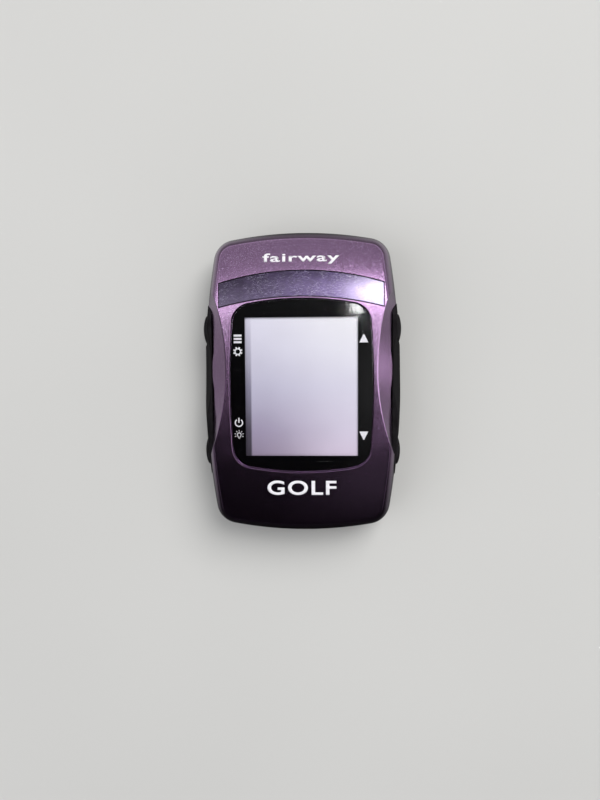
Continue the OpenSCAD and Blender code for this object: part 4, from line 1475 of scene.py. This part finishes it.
# ================================================================== FLOOR, LIGHT, CAMERA
def build_floor():
    import bmesh
    me = bpy.data.meshes.new("floor")
    bm = bmesh.new()
    bmesh.ops.create_grid(bm, x_segments=40, y_segments=40, size=1.6)
    bm.to_mesh(me)
    bm.free()
    ob = bpy.data.objects.new("floor", me)
    ob.location = (0, 0, -0.00002)
    scene.collection.objects.link(ob)
    M = Mat("pale_floor")
    n = M.noise(420, 3, 0.5)
    w = M.noise(6, 2, 0.5)
    col = M.mix(M.span(w, 0.3, 0.7), (0.57, 0.57, 0.56, 1), (0.60, 0.60, 0.59, 1))
    M.set(color=col, rough=0.85, normal=M.bump(n, 0.00003, 0.25), spec=0.2)
    # painted shade that only reflections see: the floor's reflected colour is near black next to the case and towards
    # the near end, and dimmer past the far end, standing in for contact shadow
    lp = M.n("ShaderNodeLightPath")
    dark = M.n("ShaderNodeBsdfDiffuse")
    p = M.xyz()
    ux, uy = M.math("DIVIDE", p[0], 0.030), M.math("DIVIDE", p[1], 0.0455)
    r = M.math("SQRT", M.math("ADD", M.math("MULTIPLY", ux, ux), M.math("MULTIPLY", uy, uy)))
    painted_shade_level = M.math("MULTIPLY", M.span(r, 1.05, 1.7, 0.05, 0.46, smooth=True), M.span(p[1], -0.06, -0.012, 0.03, 1.0, smooth=True))
    painted_shade_level = M.math("MULTIPLY", painted_shade_level, M.span(p[1], 0.045, 0.08, 1.0, 0.5, smooth=True))
    painted_shade_colour = M.n("ShaderNodeCombineColor")
    for k in range(3):
        M.link(painted_shade_level, painted_shade_colour.inputs[k])
    M.link(painted_shade_colour.outputs[0], dark.inputs["Color"])
    mx = M.n("ShaderNodeMixShader")
    M.link(lp.outputs["Is Glossy Ray"], mx.inputs[0])
    M.link(M.b.outputs[0], mx.inputs[1])
    M.link(dark.outputs[0], mx.inputs[2])
    M.link(mx.outputs[0], M.out.inputs["Surface"])
    me.materials.append(M.m)
    return ob


build_floor()


def build_world():
    """Soft studio: what reflections and lighting see is a smooth bright-to-dark sweep; the camera sees plain pale grey."""
    w = bpy.data.worlds.new("studio")
    scene.world = w
    w.use_nodes = True
    t = w.node_tree
    for n in list(t.nodes):
        t.nodes.remove(n)

    def N(kind, **kw):
        x = t.nodes.new(kind)
        for k, v in kw.items():
            setattr(x, k, v)
        return x

    def put(sock, v):
        if hasattr(v, "is_linked"):
            t.links.new(v, sock)
        else:
            sock.default_value = v

    def M(op, a, b=None, clamp=False):
        x = N("ShaderNodeMath", operation=op, use_clamp=clamp)
        put(x.inputs[0], a)
        if b is not None:
            put(x.inputs[1], b)
        return x.outputs[0]

    def step(v, a, b, c=0.0, d=1.0):
        x = N("ShaderNodeMapRange", interpolation_type="SMOOTHSTEP")
        x.clamp = True
        for i, q in enumerate((v, a, b, c, d)):
            put(x.inputs[i], q)
        return x.outputs[0]
    geo = N("ShaderNodeNewGeometry")
    sep = N("ShaderNodeSeparateXYZ")
    t.links.new(geo.outputs["Incoming"], sep.inputs[0])
    dx, dy, dz = M("MULTIPLY", sep.outputs[0], -1), M("MULTIPLY", sep.outputs[1], -1), M("MULTIPLY", sep.outputs[2], -1)
    zz = M("MAXIMUM", dz, 0.02)
    sx, sy = M("DIVIDE", dx, zz), M("DIVIDE", dy, zz)

    def blob(cx, cy, rx, ry, amp):
        a = M("DIVIDE", M("SUBTRACT", sx, cx), rx)
        b = M("DIVIDE", M("SUBTRACT", sy, cy), ry)
        r2 = M("ADD", M("MULTIPLY", a, a), M("MULTIPLY", b, b))
        return M("MULTIPLY", M("EXPONENT", M("MULTIPLY", r2, -1)), amp)
    # bright upper sky that thins out towards the far end, dark below
    W = WORLD
    low = step(M("ADD", sy, M("MULTIPLY", sx, 0.1)), W["low"][0], W["low"][1])
    far = step(sy, W["far"][0], W["far"][1], 1.0, W["far"][2])
    E = M("MULTIPLY", M("MULTIPLY", low, far), M("ADD", M("MULTIPLY", M("MAXIMUM", M("MINIMUM", sx, 0.25), -0.25), W["tilt"]), W["sky"]))
    E = M("MAXIMUM", E, 0.0)
    # the dark shape of whoever stands over the object
    da = M("DIVIDE", M("SUBTRACT", sx, W["dark"][0]), W["dark"][2])
    db = M("DIVIDE", M("SUBTRACT", sy, W["dark"][1]), W["dark"][3])
    dr = M("ADD", M("POWER", M("ABSOLUTE", da), 3.0), M("POWER", M("ABSOLUTE", db), 3.0))
    E = M("MULTIPLY", E, step(dr, 0.8, 1.35, W["dark"][4], 1.0))
    for args in W["blobs"]:
        E = M("ADD", E, blob(*args))
    # one small hard-edged bright patch
    pa = M("DIVIDE", M("SUBTRACT", sx, W["patch"][0]), W["patch"][2])
    pb = M("DIVIDE", M("SUBTRACT", sy, W["patch"][1]), W["patch"][3])
    pr = M("ADD", M("POWER", M("ABSOLUTE", pa), 3.0), M("POWER", M("ABSOLUTE", pb), 3.0))
    E = M("ADD", E, M("MULTIPLY", step(pr, 0.8, 1.2, 1.0, 0.0), W["patch"][4]))
    # horizon glow on the sides, dark towards the near end
    side = M("MULTIPLY", step(dz, 0.05, 0.6, 1.0, 0.0), W["side"])
    side = M("MULTIPLY", side, step(dy, -0.75, 0.1, 0.05, 1.0))
    side = M("MULTIPLY", side, step(dx, -0.9, 0.9, 0.85, 1.0))
    E = M("ADD", M("ADD", E, side), W["floor"])
    bg = N("ShaderNodeBackground")
    bg.inputs["Color"].default_value = (0.98, 0.985, 1.0, 1)
    t.links.new(E, bg.inputs["Strength"])
    plain = N("ShaderNodeBackground")
    plain.inputs["Color"].default_value = (0.80, 0.80, 0.80, 1)
    plain.inputs["Strength"].default_value = 1.0
    # matt surfaces are lit by an even dome
    dome = N("ShaderNodeBackground")
    dome.inputs["Color"].default_value = (0.99, 0.99, 1.0, 1)
    dome.inputs["Strength"].default_value = W["soft"]
    lp = N("ShaderNodeLightPath")
    m1, m2 = N("ShaderNodeMixShader"), N("ShaderNodeMixShader")
    t.links.new(lp.outputs["Is Diffuse Ray"], m1.inputs[0])
    t.links.new(bg.outputs[0], m1.inputs[1])
    t.links.new(dome.outputs[0], m1.inputs[2])
    t.links.new(lp.outputs["Is Camera Ray"], m2.inputs[0])
    t.links.new(m1.outputs[0], m2.inputs[1])
    t.links.new(plain.outputs[0], m2.inputs[2])
    out = N("ShaderNodeOutputWorld")
    t.links.new(m2.outputs[0], out.inputs["Surface"])
    w.cycles.sampling_method = "NONE"


WORLD = {
    "low": (-0.06, 0.15),
    "far": (0.10, 0.38, 0.16),
    "sky": 4.1,
    "tilt": -1.0,
    "dark": (-0.055, -0.15, 0.175, 0.31, 0.03),
    "blobs": [(0.185, 0.262, 0.095, 0.043, 13.0), (0.02, 0.31, 0.13, 0.05, 1.9), (0.068, -0.04, 0.03, 0.10, 0.4), (0.2, -0.36, 0.2, 0.25, 0.09)],
    "patch": (0.047, 0.090, 0.011, 0.0085, 40.0),
    "side": 0.42,
    "floor": 0.009,
    "soft": 0.45,
}
build_world()


def area(name, loc, target, w, h, power, color=(1, 1, 1), glossy=True):
    li = bpy.data.lights.new(name, "AREA")
    li.shape = "RECTANGLE"
    li.size, li.size_y = w, h
    li.energy = power
    li.color = color
    ob = bpy.data.objects.new(name, li)
    ob.location = loc
    ob.rotation_mode = "QUATERNION"
    ob.rotation_quaternion = (Vector(target) - Vector(loc)).to_track_quat("-Z", "Y")
    ob.visible_glossy = glossy
    ob.visible_camera = False
    scene.collection.objects.link(ob)
    return ob


# broad soft key from the far right, soft fill from the left
area("key", (0.55, 0.75, 1.1), (0, 0, 0), 0.9, 0.9, 17.0, (1.0, 0.99, 0.97), glossy=False)
area("fill", (-0.9, -0.2, 0.9), (0, 0, 0), 1.0, 1.0, 4.0, (0.97, 0.98, 1.0), glossy=False)

cam_data = bpy.data.cameras.new("camera")
cam_data.sensor_width = 36.0
cam_data.lens = 612.0 / 800.0 * 36.0
cam = bpy.data.objects.new("camera", cam_data)
scene.collection.objects.link(cam)
CAM = {"pos": (7.75, 5.82, 198.57), "pitch": 3.37, "yaw": -2.59, "roll": 0.18}


def turn(axis, deg):
    return Matrix.Rotation(math.radians(deg), 3, axis)


view_rot = turn("Z", CAM["roll"]) @ turn("Y", CAM["yaw"]) @ turn("X", CAM["pitch"])
cam.location = Vector(CAM["pos"]) * MM
cam.rotation_mode = "QUATERNION"
cam.rotation_quaternion = view_rot.transposed().to_quaternion()
cam_data.clip_start, cam_data.clip_end = 0.01, 20
scene.camera = cam

scene.view_settings.view_transform = "Standard"
scene.view_settings.look = "None"
scene.view_settings.exposure = 0.0
scene.view_settings.gamma = 1.0
scene.cycles.use_denoising = True
scene.cycles.max_bounces = 8
scene.cycles.transparent_max_bounces = 16
scene.cycles.caustics_reflective = False
scene.cycles.caustics_refractive = False
